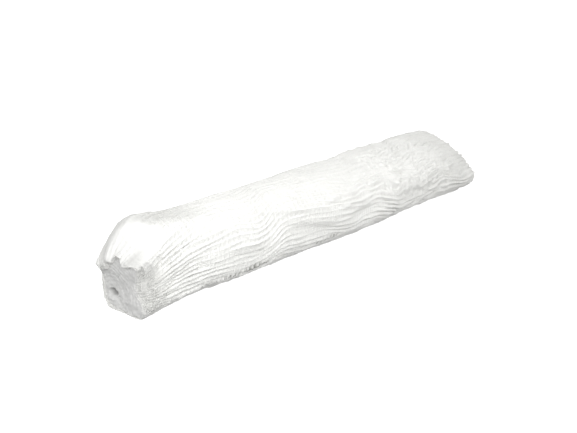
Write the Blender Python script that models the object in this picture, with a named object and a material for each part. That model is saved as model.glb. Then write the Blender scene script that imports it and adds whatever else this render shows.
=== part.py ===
"""Gauze bandage roll: one long strip of crinkled cotton gauze, wound up loosely and lying on its side.

The roll is one closed solid. Its length runs along X, its front faces -Y and it rests on Z = 0, with
the origin under the middle of its box. At the -X end the outer turns reach over the inner ones as a
hood, above a sunk face with the small hole in the middle of the winding. Towards the +X end the roll
is pressed lower and leans back. The crinkle of the gauze is raised as ridges that run from end to end.

Sizes are in millimetres until the mesh is made, and the mesh is in metres.
"""
from collections import namedtuple
from math import pi

import bpy
import numpy as np

MM = 0.001

# The strip and its crinkle
STRIP_WIDTH = 150.0          # width of the gauze, so the length of the roll
RIDGE_COUNT = 50             # crinkle ridges round the roll
RIDGE_HEIGHT = 0.45          # crest to trough on the wound body
END_RIDGE_HEIGHT = 0.5       # crest to trough where the ridges turn over an end
REST_FADE = 2.0              # the ridges die out below this height over the surface
SINK = 0.06                  # share of the half height that is pressed flat by the roll's own weight

# The hood end
FACE_DEPTH = 3.0             # how far the sunk face lies behind the hood's rim
FACE_DISH = 0.8              # how much further in the middle of the face lies
HOLE_SIDE = 3.6              # the hole in the middle of the winding lies behind the roll's middle
HOLE_HEIGHT = 5.4            # its height over the surface
HOLE_DEPTH = 2.6
HOLE_SHARE = 0.09            # its radius as a share of the face's
UNDER_RIM = ((0.35, 0.025), (0.8, 0.04), (1.0, 0.07))  # share of the depth and step in, behind the rim
FACE_SHARES = (0.72, 0.47, 0.28, 0.14)  # rings of the face, as shares of its radius
RIM_PLEATS = 13              # gathers along the hood's rim
PLEAT_DEPTH = 0.045          # their depth as a share of the distance to the hole

# The plain end
FAR_SHOULDER = 1.8           # roundness of the outer turns there
FAR_INSET = 0.2              # share of the end that this round edge takes up
FAR_FACE = ((0.72, 1.2), (0.4, 1.2), (0.15, 1.2), (0.09, 2.0))  # share left and depth behind the edge

# How finely the ridges are followed
BODY_RINGS = 29
BODY_START = 13.0            # the first and last plain ring of the body
BODY_END = 145.0
TURN_STEPS = 6               # rings round the hood's shoulder
FAR_TURN_STEPS = 4           # rings round the plain end's edge
OUTLINE_STEPS = 240

# The cross-section along the roll: an oval whose lower half has its own squareness
Section = namedtuple("Section", "at half_width half_height shift lean lower_power")
SECTIONS = (
    Section(at=0.0, half_width=9.1, half_height=12.8, shift=-0.3, lean=0.00, lower_power=4.2),
    Section(at=10.0, half_width=9.9, half_height=12.8, shift=0.0, lean=0.00, lower_power=2.9),
    Section(at=20.0, half_width=10.6, half_height=12.1, shift=0.3, lean=0.00, lower_power=2.1),
    Section(at=40.0, half_width=11.9, half_height=11.9, shift=0.5, lean=-0.02, lower_power=1.9),
    Section(at=76.0, half_width=13.4, half_height=11.8, shift=0.7, lean=-0.02, lower_power=1.9),
    Section(at=100.0, half_width=14.1, half_height=10.9, shift=1.9, lean=0.05, lower_power=1.9),
    Section(at=125.0, half_width=14.5, half_height=9.6, shift=4.0, lean=0.18, lower_power=1.9),
    Section(at=150.0, half_width=14.8, half_height=8.2, shift=6.2, lean=0.31, lower_power=2.0),
)
UPPER_POWER = 2.1

# The hood round the -X end, by the share of the way round from the bottom by the front
Hood = namedtuple("Hood", "round inset reach shoulder")
HOOD = (
    Hood(round=0.00, inset=0.04, reach=0.0, shoulder=1.0),
    Hood(round=0.20, inset=0.05, reach=0.0, shoulder=1.4),
    Hood(round=0.28, inset=0.09, reach=0.6, shoulder=2.2),
    Hood(round=0.36, inset=0.32, reach=2.0, shoulder=4.2),
    Hood(round=0.44, inset=0.44, reach=2.4, shoulder=6.6),
    Hood(round=0.52, inset=0.49, reach=2.4, shoulder=7.6),
    Hood(round=0.58, inset=0.54, reach=2.4, shoulder=7.6),
    Hood(round=0.65, inset=0.52, reach=2.5, shoulder=6.8),
    Hood(round=0.70, inset=0.34, reach=2.6, shoulder=5.0),
    Hood(round=0.745, inset=0.12, reach=2.4, shoulder=3.0),
    Hood(round=0.79, inset=0.05, reach=0.3, shoulder=1.4),
    Hood(round=1.00, inset=0.04, reach=0.0, shoulder=1.0),
)

# How far the ridges wander round the front of the roll, in millimetres, along its length
Drift = namedtuple("Drift", "at shift")
FRONT_DRIFT = (
    Drift(at=0.0, shift=-3.6),
    Drift(at=6.0, shift=-2.8),
    Drift(at=17.0, shift=0.6),
    Drift(at=30.0, shift=1.2),
    Drift(at=44.0, shift=0.6),
    Drift(at=53.0, shift=2.8),
    Drift(at=68.0, shift=1.2),
    Drift(at=84.0, shift=-1.0),
    Drift(at=98.0, shift=1.4),
    Drift(at=115.0, shift=-0.8),
    Drift(at=128.0, shift=1.6),
    Drift(at=150.0, shift=1.9),
)
FRONT = 0.26                 # where round the roll that drift is strongest

# Slow waves of the ridges everywhere else
Wave = namedtuple("Wave", "size period turns phase")
RIDGE_WAVES = (
    Wave(size=0.9, period=62.0, turns=1, phase=0.10),
    Wave(size=0.6, period=37.0, turns=2, phase=0.55),
    Wave(size=0.35, period=23.0, turns=3, phase=0.80),
)


def smooth_step(value):
    """Ease from 0 to 1 as value goes from 0 to 1."""
    value = np.clip(value, 0.0, 1.0)
    return value * value * (3.0 - 2.0 * value)


def column(table, key, name, at):
    """Read one named column of a table at the given places, on a smooth curve through its rows."""
    keys = np.array([getattr(row, key) for row in table])
    values = np.array([getattr(row, name) for row in table])
    slopes = np.gradient(values, keys)
    at = np.clip(at, keys[0], keys[-1])
    left = np.clip(np.searchsorted(keys, at, side="right") - 1, 0, len(keys) - 2)
    width = keys[left + 1] - keys[left]
    share = (at - keys[left]) / width
    ease = smooth_step(share)
    start_pull = share * (1.0 - share) ** 2 * width * slopes[left]
    end_pull = share ** 2 * (share - 1.0) * width * slopes[left + 1]
    return values[left] * (1.0 - ease) + values[left + 1] * ease + start_pull + end_pull


def section_outline(at):
    """The closed cross-section at one place along the roll: Y and Z by equal shares of the way round."""
    half_width, half_height, shift, lean, lower_power = (
        float(column(SECTIONS, "at", name, at)) for name in Section._fields[1:]
    )
    angle = np.linspace(-pi / 2, 3 * pi / 2, OUTLINE_STEPS * 6 + 1)
    across, upward = np.cos(angle), np.sin(angle)
    power = np.where(upward > 0, UPPER_POWER, lower_power)
    side = -half_width * np.sign(across) * np.abs(across) ** (2 / power)
    height = half_height * (np.sign(upward) * np.abs(upward) ** (2 / power) + 1.0 - SINK)
    height = np.maximum(height, 0.0) * (1.0 + lean * side / half_width)
    steps = np.hypot(np.diff(side), np.diff(height))
    travelled = np.concatenate([[0.0], np.cumsum(steps)])
    shares = np.linspace(0.0, travelled[-1], OUTLINE_STEPS + 1)
    return np.interp(shares, travelled, side + shift), np.interp(shares, travelled, height)


def drift(at, share):
    """How far round the roll, as a share of the way round, a ridge lies from its even place."""
    girth = 2 * pi * SECTIONS[0].half_height
    front = 0.5 + 0.5 * np.cos(2 * pi * (share - FRONT))
    moved = column(FRONT_DRIFT, "at", "shift", at) * front
    for wave in RIDGE_WAVES:
        moved = moved + wave.size * np.sin(2 * pi * (at / wave.period + wave.turns * share + wave.phase))
    return moved / girth


def on_section(at, share):
    """Y and Z of the wound surface at one place along the roll and one share of the way round."""
    side, height = section_outline(at)
    shares = np.linspace(0.0, 1.0, OUTLINE_STEPS + 1)
    return np.interp(share % 1.0, shares, side), np.interp(share % 1.0, shares, height)


def body_rings(shares):
    """Plain rings of the wound body, each an array of points."""
    rings = []
    for at in np.linspace(BODY_START, BODY_END, BODY_RINGS):
        side, height = on_section(at, shares + drift(at, shares))
        rings.append(np.stack([np.full_like(side, at), side, height], axis=1))
    return rings


def towards_hole(at, share, keep, hole):
    """A point of the section drawn towards the hole: keep is 1 on the outline and 0 in the hole."""
    side, height = on_section(float(at), float(share))
    return hole[0] + (side - hole[0]) * keep, hole[1] + (height - hole[1]) * keep


def end_ring(places, shares, keeps, hole):
    """One ring of an end, with its own place along the roll for each point."""
    points = []
    for at, share, keep in zip(places, shares, keeps):
        side, height = towards_hole(max(float(at), 0.0), share + drift(float(at), share), keep, hole)
        points.append((at, side, height))
    return np.array(points)


def hood_rings(shares):
    """The rings of the hood end, from the hole in the middle of its face out to the body."""
    hole = (HOLE_SIDE, HOLE_HEIGHT)
    inset = column(HOOD, "round", "inset", shares)
    reach = column(HOOD, "round", "reach", shares)
    shoulder = column(HOOD, "round", "shoulder", shares)
    pleat = PLEAT_DEPTH * np.cos(2 * pi * RIM_PLEATS * shares) * smooth_step(reach / FACE_DEPTH)
    rim_keep = 1.0 - inset + pleat
    rim_at = FACE_DEPTH - reach
    rings = []
    for turn in np.linspace(0.0, pi / 2, TURN_STEPS + 1):
        keeps = 1.0 - (1.0 - rim_keep) * (1.0 - np.cos(turn))
        places = rim_at + shoulder * (1.0 - np.sin(turn))
        rings.append(end_ring(places, shares, keeps, hole))
    for depth, step_in in UNDER_RIM:
        rings.append(end_ring(rim_at + reach * depth, shares, rim_keep - step_in, hole))
    foot = rim_keep - UNDER_RIM[-1][1]
    for share_left in FACE_SHARES:
        dish = FACE_DEPTH + FACE_DISH * (1.0 - share_left)
        rings.append(end_ring(np.full_like(shares, dish), shares, foot * share_left, hole))
    hole_floor = FACE_DEPTH + FACE_DISH + HOLE_DEPTH
    rings.append(end_ring(np.full_like(shares, hole_floor), shares, foot * HOLE_SHARE, hole))
    return rings[::-1], (hole_floor, *hole)


def plain_end_rings(shares):
    """The rings of the plain end, from the body in to the middle of its face."""
    last = SECTIONS[-1]
    middle = (last.shift, last.half_height * (1.0 - SINK))
    rings = []
    end_at = STRIP_WIDTH - FAR_SHOULDER
    for turn in np.linspace(0.0, pi / 2, FAR_TURN_STEPS + 1):
        keeps = np.full_like(shares, 1.0 - FAR_INSET * (1.0 - np.cos(turn)))
        ring = end_ring(np.full_like(shares, end_at), shares, keeps, middle)
        ring[:, 0] += FAR_SHOULDER * np.sin(turn)
        rings.append(ring)
    for keep, depth in FAR_FACE:
        ring = end_ring(np.full_like(shares, end_at), shares, np.full_like(shares, keep), middle)
        ring[:, 0] += FAR_SHOULDER - depth
        rings.append(ring)
    return rings, (rings[-1][:, 0].mean(), *middle)


def raise_ridges(grid, heights):
    """Lift every second line of points and lower the others, along the surface's own normals."""
    along = np.gradient(grid, axis=0)
    around = np.roll(grid, -1, axis=1) - np.roll(grid, 1, axis=1)
    normals = np.cross(along, around)
    normals /= np.linalg.norm(normals, axis=2, keepdims=True)
    sign = np.where(np.arange(grid.shape[1]) % 2 == 0, 0.5, -0.5)
    fade = smooth_step(grid[:, :, 2] / REST_FADE)
    raised = grid + normals * (heights[:, None] * sign[None, :] * fade)[:, :, None]
    raised[:, :, 2] = np.maximum(raised[:, :, 2], 0.0)
    return raised


def roll_mesh():
    """The whole roll as one closed mesh, in metres."""
    shares = np.arange(2 * RIDGE_COUNT) / (2 * RIDGE_COUNT)
    near, near_middle = hood_rings(shares)
    far, far_middle = plain_end_rings(shares)
    body = body_rings(shares)
    grid = np.array(near + body + far)
    near_rim = len(near) - TURN_STEPS - 1
    far_rim = len(near) + len(body) + FAR_TURN_STEPS
    turns = (0, near_rim, len(near) - 1, len(near) + len(body), far_rim, len(grid) - 1)
    heights = (0.0, END_RIDGE_HEIGHT, RIDGE_HEIGHT, RIDGE_HEIGHT, END_RIDGE_HEIGHT, 0.0)
    grid = raise_ridges(grid, np.interp(np.arange(len(grid)), turns, heights))

    rows, columns = grid.shape[:2]
    points = np.concatenate([grid.reshape(-1, 3), [near_middle], [far_middle]])
    low, high = points.min(axis=0), points.max(axis=0)
    points -= ((low[0] + high[0]) / 2, (low[1] + high[1]) / 2, 0.0)

    def index(row, place):
        return row * columns + place % columns

    faces = [
        (index(row, place), index(row + 1, place), index(row + 1, place + 1), index(row, place + 1))
        for row in range(rows - 1)
        for place in range(columns)
    ]
    near_centre, far_centre = rows * columns, rows * columns + 1
    for place in range(columns):
        faces.append((near_centre, index(0, place), index(0, place + 1)))
        faces.append((far_centre, index(rows - 1, place + 1), index(rows - 1, place)))
    mesh = bpy.data.meshes.new("gauze_roll")
    mesh.from_pydata((points * MM).tolist(), [], faces)
    mesh.update()
    mesh.shade_smooth()
    return mesh


def cotton():
    """Bleached cotton gauze: matt and near white."""
    material = bpy.data.materials.new("bleached_cotton")
    material.use_nodes = True
    shader = material.node_tree.nodes["Principled BSDF"]
    shader.inputs["Base Color"].default_value = (0.86, 0.86, 0.84, 1.0)
    shader.inputs["Roughness"].default_value = 0.95
    shader.inputs["Metallic"].default_value = 0.0
    return material


def build():
    """Clear the scene and make the roll."""
    for thing in list(bpy.data.objects):
        bpy.data.objects.remove(thing, do_unlink=True)
    roll = bpy.data.objects.new("gauze_roll", roll_mesh())
    roll.data.materials.append(cotton())
    bpy.context.scene.collection.objects.link(roll)


build()
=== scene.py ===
"""Gauze bandage roll: the woven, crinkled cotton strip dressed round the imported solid.

The roll lies along X with its front towards -Y and rests on Z = 0. Sizes are in millimetres in the
roll's own coordinates, X from the hood end along the roll, until a mesh is made. Meshes are in metres.
A place round the roll is a share of the way round, from the bottom up the front and down the back.
"""

import logging
from collections.abc import Sequence
from dataclasses import dataclass, field
from enum import Enum
from math import cos, pi, radians, sin
from typing import NamedTuple

import bpy
import numpy as np
from mathutils import Matrix, Vector


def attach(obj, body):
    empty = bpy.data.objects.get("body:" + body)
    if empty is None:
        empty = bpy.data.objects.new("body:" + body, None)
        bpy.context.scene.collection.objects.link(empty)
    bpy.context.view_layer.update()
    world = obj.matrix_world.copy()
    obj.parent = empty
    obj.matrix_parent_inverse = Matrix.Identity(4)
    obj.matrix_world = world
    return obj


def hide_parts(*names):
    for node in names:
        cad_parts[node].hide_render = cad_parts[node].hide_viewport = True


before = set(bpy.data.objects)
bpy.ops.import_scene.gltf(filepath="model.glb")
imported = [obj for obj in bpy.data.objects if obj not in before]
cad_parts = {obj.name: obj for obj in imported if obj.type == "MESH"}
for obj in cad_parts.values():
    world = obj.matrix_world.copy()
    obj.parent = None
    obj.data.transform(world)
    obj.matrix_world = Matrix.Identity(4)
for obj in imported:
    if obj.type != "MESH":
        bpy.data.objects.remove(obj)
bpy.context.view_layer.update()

LOG = logging.getLogger("gauze_roll")
MM = 0.001
SOLID = "gauze_roll"
# Name of the mesh layer that holds painted shade, by which the finish darkens the colour.
PAINTED_SHADE_LAYER = "trough_depth"
RIDGES = 50

# Two values that belong together, such as across and up, or least and greatest.
Pair = tuple[float, float]
# Where a soft edge lies, and how wide it fades.
Edge = tuple[float, float]


def smooth_step(value: np.ndarray) -> np.ndarray:
    """Ease from 0 to 1 as value goes from 0 to 1.

    Args:
        value: any numbers.

    Returns:
        The eased numbers, between 0 and 1.
    """
    value = np.clip(value, 0.0, 1.0)
    return value * value * (3.0 - 2.0 * value)


def rising(value: np.ndarray, start: float, width: float) -> np.ndarray:
    """Ease from 0 at start to 1 over this width."""
    return smooth_step((value - start) / width)


def falling(value: np.ndarray, end: float, width: float) -> np.ndarray:
    """Ease from 1 to 0 at end over this width."""
    return smooth_step((end - value) / width)


def wrapped(apart: np.ndarray) -> np.ndarray:
    """Bring differences of places round the roll to between -0.5 and 0.5."""
    return (apart + 0.5) % 1.0 - 0.5


def wave_height(turns: np.ndarray) -> np.ndarray:
    """Read a wave between 0 and 1 that is highest at each whole turn."""
    return 0.5 + 0.5 * np.cos(2 * pi * turns)


def half_sizes_away(side: np.ndarray, height: np.ndarray, middle: Pair, size: Pair) -> np.ndarray:
    """Find how many half sizes points lie from a middle, each given across and up."""
    return np.hypot((side - middle[0]) / size[0], (height - middle[1]) / size[1])


class Section(NamedTuple):
    """One cross-section of the roll: an oval whose lower half has its own squareness.

    Attributes:
        at: its place along the roll.
        half_width: half its width.
        half_height: half its height.
        shift: how far its middle lies to the back.
        lean: share by which it is higher at its back and lower at its front.
        lower_power: squareness of its lower half, 2 for an ellipse.
    """

    at: float
    half_width: float
    half_height: float
    shift: float
    lean: float
    lower_power: float


class HoodPlace(NamedTuple):
    """How the hood is drawn in at one place round the roll.

    Attributes:
        round: the place round the roll.
        inset: share of the way to the middle at which its mouth lies.
        reach: how far the mouth stands out past the face.
        shoulder: how long the bend into the mouth is.
    """

    round: float
    inset: float
    reach: float
    shoulder: float


class Flow(NamedTuple):
    """The run of the crinkle at one place along the roll.

    Attributes:
        at: the place along the roll.
        shift: how far its lines have wandered round the front.
        squeeze: share by which they lie farther from where they are gathered, below zero for nearer.
        height: height of the ridges.
        rough: how much fine crumple the cloth has, as a share.
        wander: how far a few ridges together stray, in ridges.
    """

    at: float
    shift: float
    squeeze: float
    height: float
    rough: float
    wander: float


class Fold(NamedTuple):
    """One soft fold.

    Attributes:
        at: its middle along the roll.
        round: its middle round the roll.
        length: half its length.
        width: half its width.
        height: its height, below zero for a hollow.
        slant: how its line climbs round the roll, in shares for each millimetre.
        calm: share of the ridges' height that it takes away.
    """

    at: float
    round: float
    length: float
    width: float
    height: float
    slant: float
    calm: float


class ShadowRow(NamedTuple):
    """One short row of open squares low on the front, with painted shade between the yarns.

    Attributes:
        start: where it starts along the roll.
        end: where it ends along the roll.
        round: its place round the roll at its start.
        slant: how its line climbs round the roll, in shares for each millimetre.
        width: half its width, as a share of the way round.
        yarns: how much painted shade darkens the yarns over it.
    """

    start: float
    end: float
    round: float
    slant: float
    width: float
    yarns: float


class Wave(NamedTuple):
    """One slow wave of the crinkle's lines.

    Attributes:
        size: how far the lines swing round the roll, in millimetres.
        period: its length along the roll.
        turns: how many times it repeats round the roll.
        phase: where it starts, in turns.
    """

    size: float
    period: float
    turns: int
    phase: float


class Step(NamedTuple):
    """One ring of the plain end.

    Attributes:
        keep: share of the way out from the end's middle at which it lies.
        depth: how far it lies behind the end of the roll.
    """

    keep: float
    depth: float


class LiningStep(NamedTuple):
    """One ring of the hood's lining.

    Attributes:
        inset: how far in from the mouth's edge it lies, as a share of the way out.
        back: share of the way from the mouth to the lining's bottom at which it lies.
    """

    inset: float
    back: float


class Patch(NamedTuple):
    """A stretch of the cloth with soft edges. An edge is where it lies and how wide it fades.

    Attributes:
        at_from: its start along the roll.
        at_to: its end along the roll.
        round_from: its start round the roll.
        round_to: its end round the roll.
    """

    at_from: Edge | None = None
    at_to: Edge | None = None
    round_from: Edge | None = None
    round_to: Edge | None = None

    def over(self, at: np.ndarray, round_at: np.ndarray) -> np.ndarray:
        """Find how far inside the stretch each point lies.

        Args:
            at: places along the roll.
            round_at: places round the roll.

        Returns:
            Shares, 1 well inside it.
        """
        share = np.ones(np.broadcast(at, round_at).shape)
        edges = ((at, self.at_from, self.at_to), (round_at, self.round_from, self.round_to))
        for place, start, end in edges:
            if start:
                share = share * rising(place, *start)
            if end:
                share = share * falling(place, *end)
        return share


# Each row: at, half_width, half_height, shift, lean, lower_power.
SECTIONS: tuple[Section, ...] = tuple(Section(*row) for row in (
    (0.0, 9.1, 12.8, -0.3, 0.00, 4.2),
    (10.0, 9.9, 12.8, 0.0, 0.00, 2.9),
    (20.0, 10.6, 12.1, 0.3, 0.00, 2.1),
    (40.0, 11.9, 11.9, 0.5, -0.02, 1.9),
    (76.0, 13.4, 11.8, 0.7, -0.02, 1.9),
    (100.0, 14.1, 10.9, 1.9, 0.05, 1.9),
    (125.0, 14.5, 9.6, 4.0, 0.18, 1.9),
    (150.0, 14.8, 8.2, 6.2, 0.31, 2.0),
))
GIRTH = 2 * pi * SECTIONS[0].half_height

# Each row: round, inset, reach, shoulder.
HOOD: tuple[HoodPlace, ...] = tuple(HoodPlace(*row) for row in (
    (0.00, 0.05, 0.3, 1.0),
    (0.08, 0.05, 0.2, 1.0),
    (0.13, 0.13, 0.1, 2.0),
    (0.17, 0.30, 0.0, 4.4),
    (0.22, 0.40, 0.0, 6.2),
    (0.26, 0.42, 0.1, 6.4),
    (0.29, 0.32, 0.6, 5.4),
    (0.32, 0.21, 1.3, 4.0),
    (0.36, 0.37, 2.0, 4.2),
    (0.40, 0.41, 2.3, 5.4),
    (0.44, 0.44, 2.4, 6.6),
    (0.50, 0.49, 2.4, 7.6),
    (0.56, 0.53, 2.4, 7.8),
    (0.60, 0.55, 2.45, 7.6),
    (0.64, 0.54, 2.5, 6.8),
    (0.67, 0.46, 2.6, 5.6),
    (0.695, 0.32, 2.6, 4.6),
    (0.72, 0.17, 2.2, 3.0),
    (0.742, 0.16, 1.2, 2.4),
    (0.765, 0.13, 0.3, 1.8),
    (0.82, 0.08, 0.1, 1.4),
    (0.88, 0.02, 0.1, 1.0),
    (0.95, 0.02, 0.3, 1.0),
    (1.00, 0.05, 0.3, 1.0),
))

# Each row: at, shift, squeeze, height, rough, wander.
FLOWS: tuple[Flow, ...] = tuple(Flow(*row) for row in (
    (0.0, -1.0, -0.56, 0.05, 0.6, 0.1),
    (3.0, -1.0, -0.56, 0.1, 0.6, 0.1),
    (7.5, -0.4, -0.42, 0.45, 0.6, 0.1),
    (11.0, 0.0, -0.28, 0.95, 0.5, 0.1),
    (17.0, 0.5, -0.08, 0.85, 0.2, 0.1),
    (30.0, 0.6, 0.0, 0.75, 0.16, 0.1),
    (44.0, -0.5, 0.0, 0.75, 0.2, 0.2),
    (50.0, 3.0, 0.0, 0.6, 0.2, 0.2),
    (58.0, 2.8, 0.0, 0.5, 0.15, 0.2),
    (70.0, 1.6, 0.0, 0.5, 0.2, 0.3),
    (82.0, 0.4, 0.0, 0.6, 0.4, 0.5),
    (94.0, 1.7, 0.0, 0.75, 0.8, 0.7),
    (104.0, -1.4, 0.0, 0.85, 1.3, 0.9),
    (114.0, -1.6, 0.0, 0.85, 1.8, 1.0),
    (126.0, 0.6, 0.0, 0.8, 1.6, 0.9),
    (136.0, 0.2, 0.0, 0.75, 0.9, 0.5),
    (150.0, 0.6, 0.0, 0.65, 0.3, 0.2),
))

# Each row: at, round, length, width, height, slant, calm.
FOLDS: tuple[Fold, ...] = tuple(Fold(*row) for row in (
    (7.0, 0.53, 9.0, 6.0, 0.7, 0.0, 0.0),
    (15.0, 0.11, 10.0, 4.0, -1.5, 0.0, 0.2),
    (38.0, 0.222, 8.0, 1.8, -0.4, -0.0012, 0.7),
    (56.0, 0.325, 11.0, 2.0, 1.0, -0.003, 0.3),
    (62.0, 0.237, 12.0, 3.2, -1.0, -0.0036, 0.85),
    (71.5, 0.318, 2.2, 1.2, 0.9, 0.0, 0.6),
    (76.0, 0.280, 2.2, 1.2, 0.9, 0.0, 0.6),
    (79.5, 0.320, 2.4, 1.2, 0.9, 0.0, 0.6),
    (84.5, 0.240, 6.0, 2.6, -1.0, 0.0006, 0.85),
    (92.0, 0.335, 7.0, 1.4, 0.8, -0.001, 0.0),
    (100.0, 0.308, 3.5, 1.4, 0.9, -0.004, 0.2),
    (110.0, 0.247, 9.0, 3.0, -1.1, 0.0, 0.85),
    (109.5, 0.308, 2.4, 1.2, 0.9, 0.003, 0.4),
    (116.0, 0.350, 3.0, 1.3, 0.8, -0.004, 0.3),
    (123.0, 0.300, 3.0, 1.3, 0.7, 0.004, 0.3),
    (126.0, 0.405, 7.0, 1.8, 0.7, 0.001, 0.0),
    (137.0, 0.285, 10.0, 3.0, -0.6, 0.0, 0.4),
))

# Rows of painted shade low on the front, near where the cloth meets the floor.
SHADOW_ROWS: tuple[ShadowRow, ...] = (
    ShadowRow(start=27.5, end=37.5, round=0.124, slant=0.0005, width=0.010, yarns=1.2),
    ShadowRow(start=36.0, end=48.0, round=0.134, slant=0.0015, width=0.0085, yarns=3.6),
    ShadowRow(start=64.0, end=76.0, round=0.151, slant=0.0008, width=0.009, yarns=1.8),
)

SLOW_WAVES: tuple[Wave, ...] = (
    Wave(size=0.45, period=62.0, turns=1, phase=0.10),
    Wave(size=0.35, period=37.0, turns=2, phase=0.55),
    Wave(size=0.25, period=23.0, turns=3, phase=0.80),
)

# Each row: inset, back.
LINING_STEPS: tuple[LiningStep, ...] = tuple(LiningStep(*row) for row in (
    (0.05, 1.0),
    (0.045, 0.7),
    (0.04, 0.4),
    (0.035, 0.2),
    (0.03, 0.1),
    (0.015, 0.04),
))

# Each row: keep, depth.
FAR_STEPS: tuple[Step, ...] = tuple(Step(*row) for row in (
    (0.78, 0.15),
    (0.765, 0.6),
    (0.76, 1.2),
    (0.76, 2.4),
    (0.75, 5.0),
    (0.4, 5.0),
    (0.1, 5.0),
))


def column(table: Sequence[NamedTuple], name: str, at: np.ndarray) -> np.ndarray:
    """Read one named column of a table on a smooth curve through its rows.

    Args:
        table: rows that are sorted by their first value.
        name: the name of the column to read.
        at: the places to read it at, along the first value.

    Returns:
        One value for each place.
    """
    keys = np.array([row[0] for row in table])
    values = np.array([getattr(row, name) for row in table])
    slopes = np.gradient(values, keys)
    at = np.clip(at, keys[0], keys[-1])
    left = np.clip(np.searchsorted(keys, at, side="right") - 1, 0, len(keys) - 2)
    width = keys[left + 1] - keys[left]
    share = (at - keys[left]) / width
    ease = smooth_step(share)
    start_pull = share * (1.0 - share) ** 2 * width * slopes[left]
    end_pull = share**2 * (share - 1.0) * width * slopes[left + 1]
    return values[left] * (1.0 - ease) + values[left + 1] * ease + start_pull + end_pull


def read_grid(grid: np.ndarray, rows: np.ndarray, places: np.ndarray) -> np.ndarray:
    """Read a grid of vectors between its points.

    Args:
        grid: the vectors, by row and by column. Its columns go round and join.
        rows: rows, in parts of a row.
        places: columns, in parts of a column.

    Returns:
        One vector for each row and place.
    """
    columns = grid.shape[1]
    low = np.minimum(np.floor(rows).astype(int), len(grid) - 2)
    left = np.floor(places).astype(int)
    up, over = (rows - low)[..., None], (places - left)[..., None]
    left, right = left % columns, (left + 1) % columns
    near = grid[low, left] * (1 - over) + grid[low, right] * over
    far = grid[low + 1, left] * (1 - over) + grid[low + 1, right] * over
    return near * (1 - up) + far * up


def grid_faces(rows: int, columns: int) -> np.ndarray:
    """Number the corners of the four-sided faces between rows of points that each go round.

    Args:
        rows: how many rows there are.
        columns: points in each row.

    Returns:
        Four point numbers for each face.
    """
    row, place = np.meshgrid(np.arange(rows - 1), np.arange(columns), indexing="ij")
    here, beyond, after = row * columns, (row + 1) * columns, (place + 1) % columns
    corners = (here + place, beyond + place, beyond + after, here + after)
    return np.stack([corner.ravel() for corner in corners], axis=1)


def fan_faces(middle: int, start: int, columns: int) -> np.ndarray:
    """Number the corners of the triangles from a middle point to one row of points.

    Args:
        middle: number of the middle point.
        start: number of the row's first point.
        columns: points in the row.

    Returns:
        Three point numbers for each face.
    """
    places = np.arange(columns)
    return np.stack([np.full(columns, middle), start + places, start + (places + 1) % columns], axis=1)


def tubes(
    paths: np.ndarray, outward: np.ndarray, radius: float, sides: int, closed: bool
) -> tuple[np.ndarray, np.ndarray, np.ndarray]:
    """Lay a round tube along each path.

    Args:
        paths: points, one row of points for each tube.
        outward: a direction across the tube at each point.
        radius: half the tube's thickness.
        sides: how many sides it has.
        closed: whether its end joins its start.

    Returns:
        Points, faces along the tubes, and the faces that close open ends.
    """
    count, steps = paths.shape[:2]
    if closed:
        along = np.roll(paths, -1, axis=1) - np.roll(paths, 1, axis=1)
    else:
        along = np.gradient(paths, axis=1)
    along /= np.maximum(np.linalg.norm(along, axis=2, keepdims=True), 1e-9)
    across = np.cross(along, outward)
    across /= np.maximum(np.linalg.norm(across, axis=2, keepdims=True), 1e-9)
    up = np.cross(across, along)
    angle = 2 * pi * np.arange(sides) / sides
    ring = np.cos(angle)[:, None] * across[:, :, None, :] + np.sin(angle)[:, None] * up[:, :, None, :]
    points = (paths[:, :, None, :] + radius * ring).reshape(-1, 3)
    tube, step, side = np.meshgrid(
        np.arange(count), np.arange(steps if closed else steps - 1), np.arange(sides), indexing="ij"
    )
    beyond, beside = (step + 1) % steps, (side + 1) % sides
    here, there = (tube * steps + step) * sides, (tube * steps + beyond) * sides
    corners = (here + side, there + side, there + beside, here + beside)
    quads = np.stack([corner.ravel() for corner in corners], axis=1)
    if closed:
        return points, quads, np.zeros((0, sides), int)
    starts = np.arange(count)[:, None] * steps * sides + np.arange(sides)[None, :]
    ends = starts + (steps - 1) * sides
    return points, quads, np.concatenate([starts, ends[:, ::-1]])


@dataclass(frozen=True)
class Unevenness:
    """Smooth chance unevenness over a cloth, the same at each run.

    Attributes:
        seed: which chance pattern it is.
        spacing: millimetres between its changes along the first direction.
        cells: how many changes there are in the wrap of the second direction.
        size: its greatest value.
        wrap: millimetres, or whole turns, after which the second direction repeats.
        start: where it starts in the first direction.
        stretch: how far it goes in the first direction.
    """

    seed: int
    spacing: float
    cells: int
    size: float = 1.0
    wrap: float = 1.0
    start: float = -60.0
    stretch: float = 300.0

    def over(self, first: np.ndarray, second: np.ndarray) -> np.ndarray:
        """Read the unevenness.

        Args:
            first: places in the first direction, in millimetres.
            second: places in the second direction.

        Returns:
            Values between -size and size.
        """
        rows = int(self.stretch / self.spacing) + 3
        lattice = np.random.default_rng(self.seed).uniform(-1.0, 1.0, (rows, self.cells))
        along = np.clip((first - self.start) / self.spacing, 0.0, rows - 2.001)
        turned = (second / self.wrap % 1.0) * self.cells
        row, cell = np.floor(along).astype(int), np.floor(turned).astype(int)
        up, over = smooth_step(along - row), smooth_step(turned - cell)
        here, beyond = cell % self.cells, (cell + 1) % self.cells
        near = lattice[row, here] * (1 - over) + lattice[row, beyond] * over
        far = lattice[row + 1, here] * (1 - over) + lattice[row + 1, beyond] * over
        return self.size * (near * (1 - up) + far * up)


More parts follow.
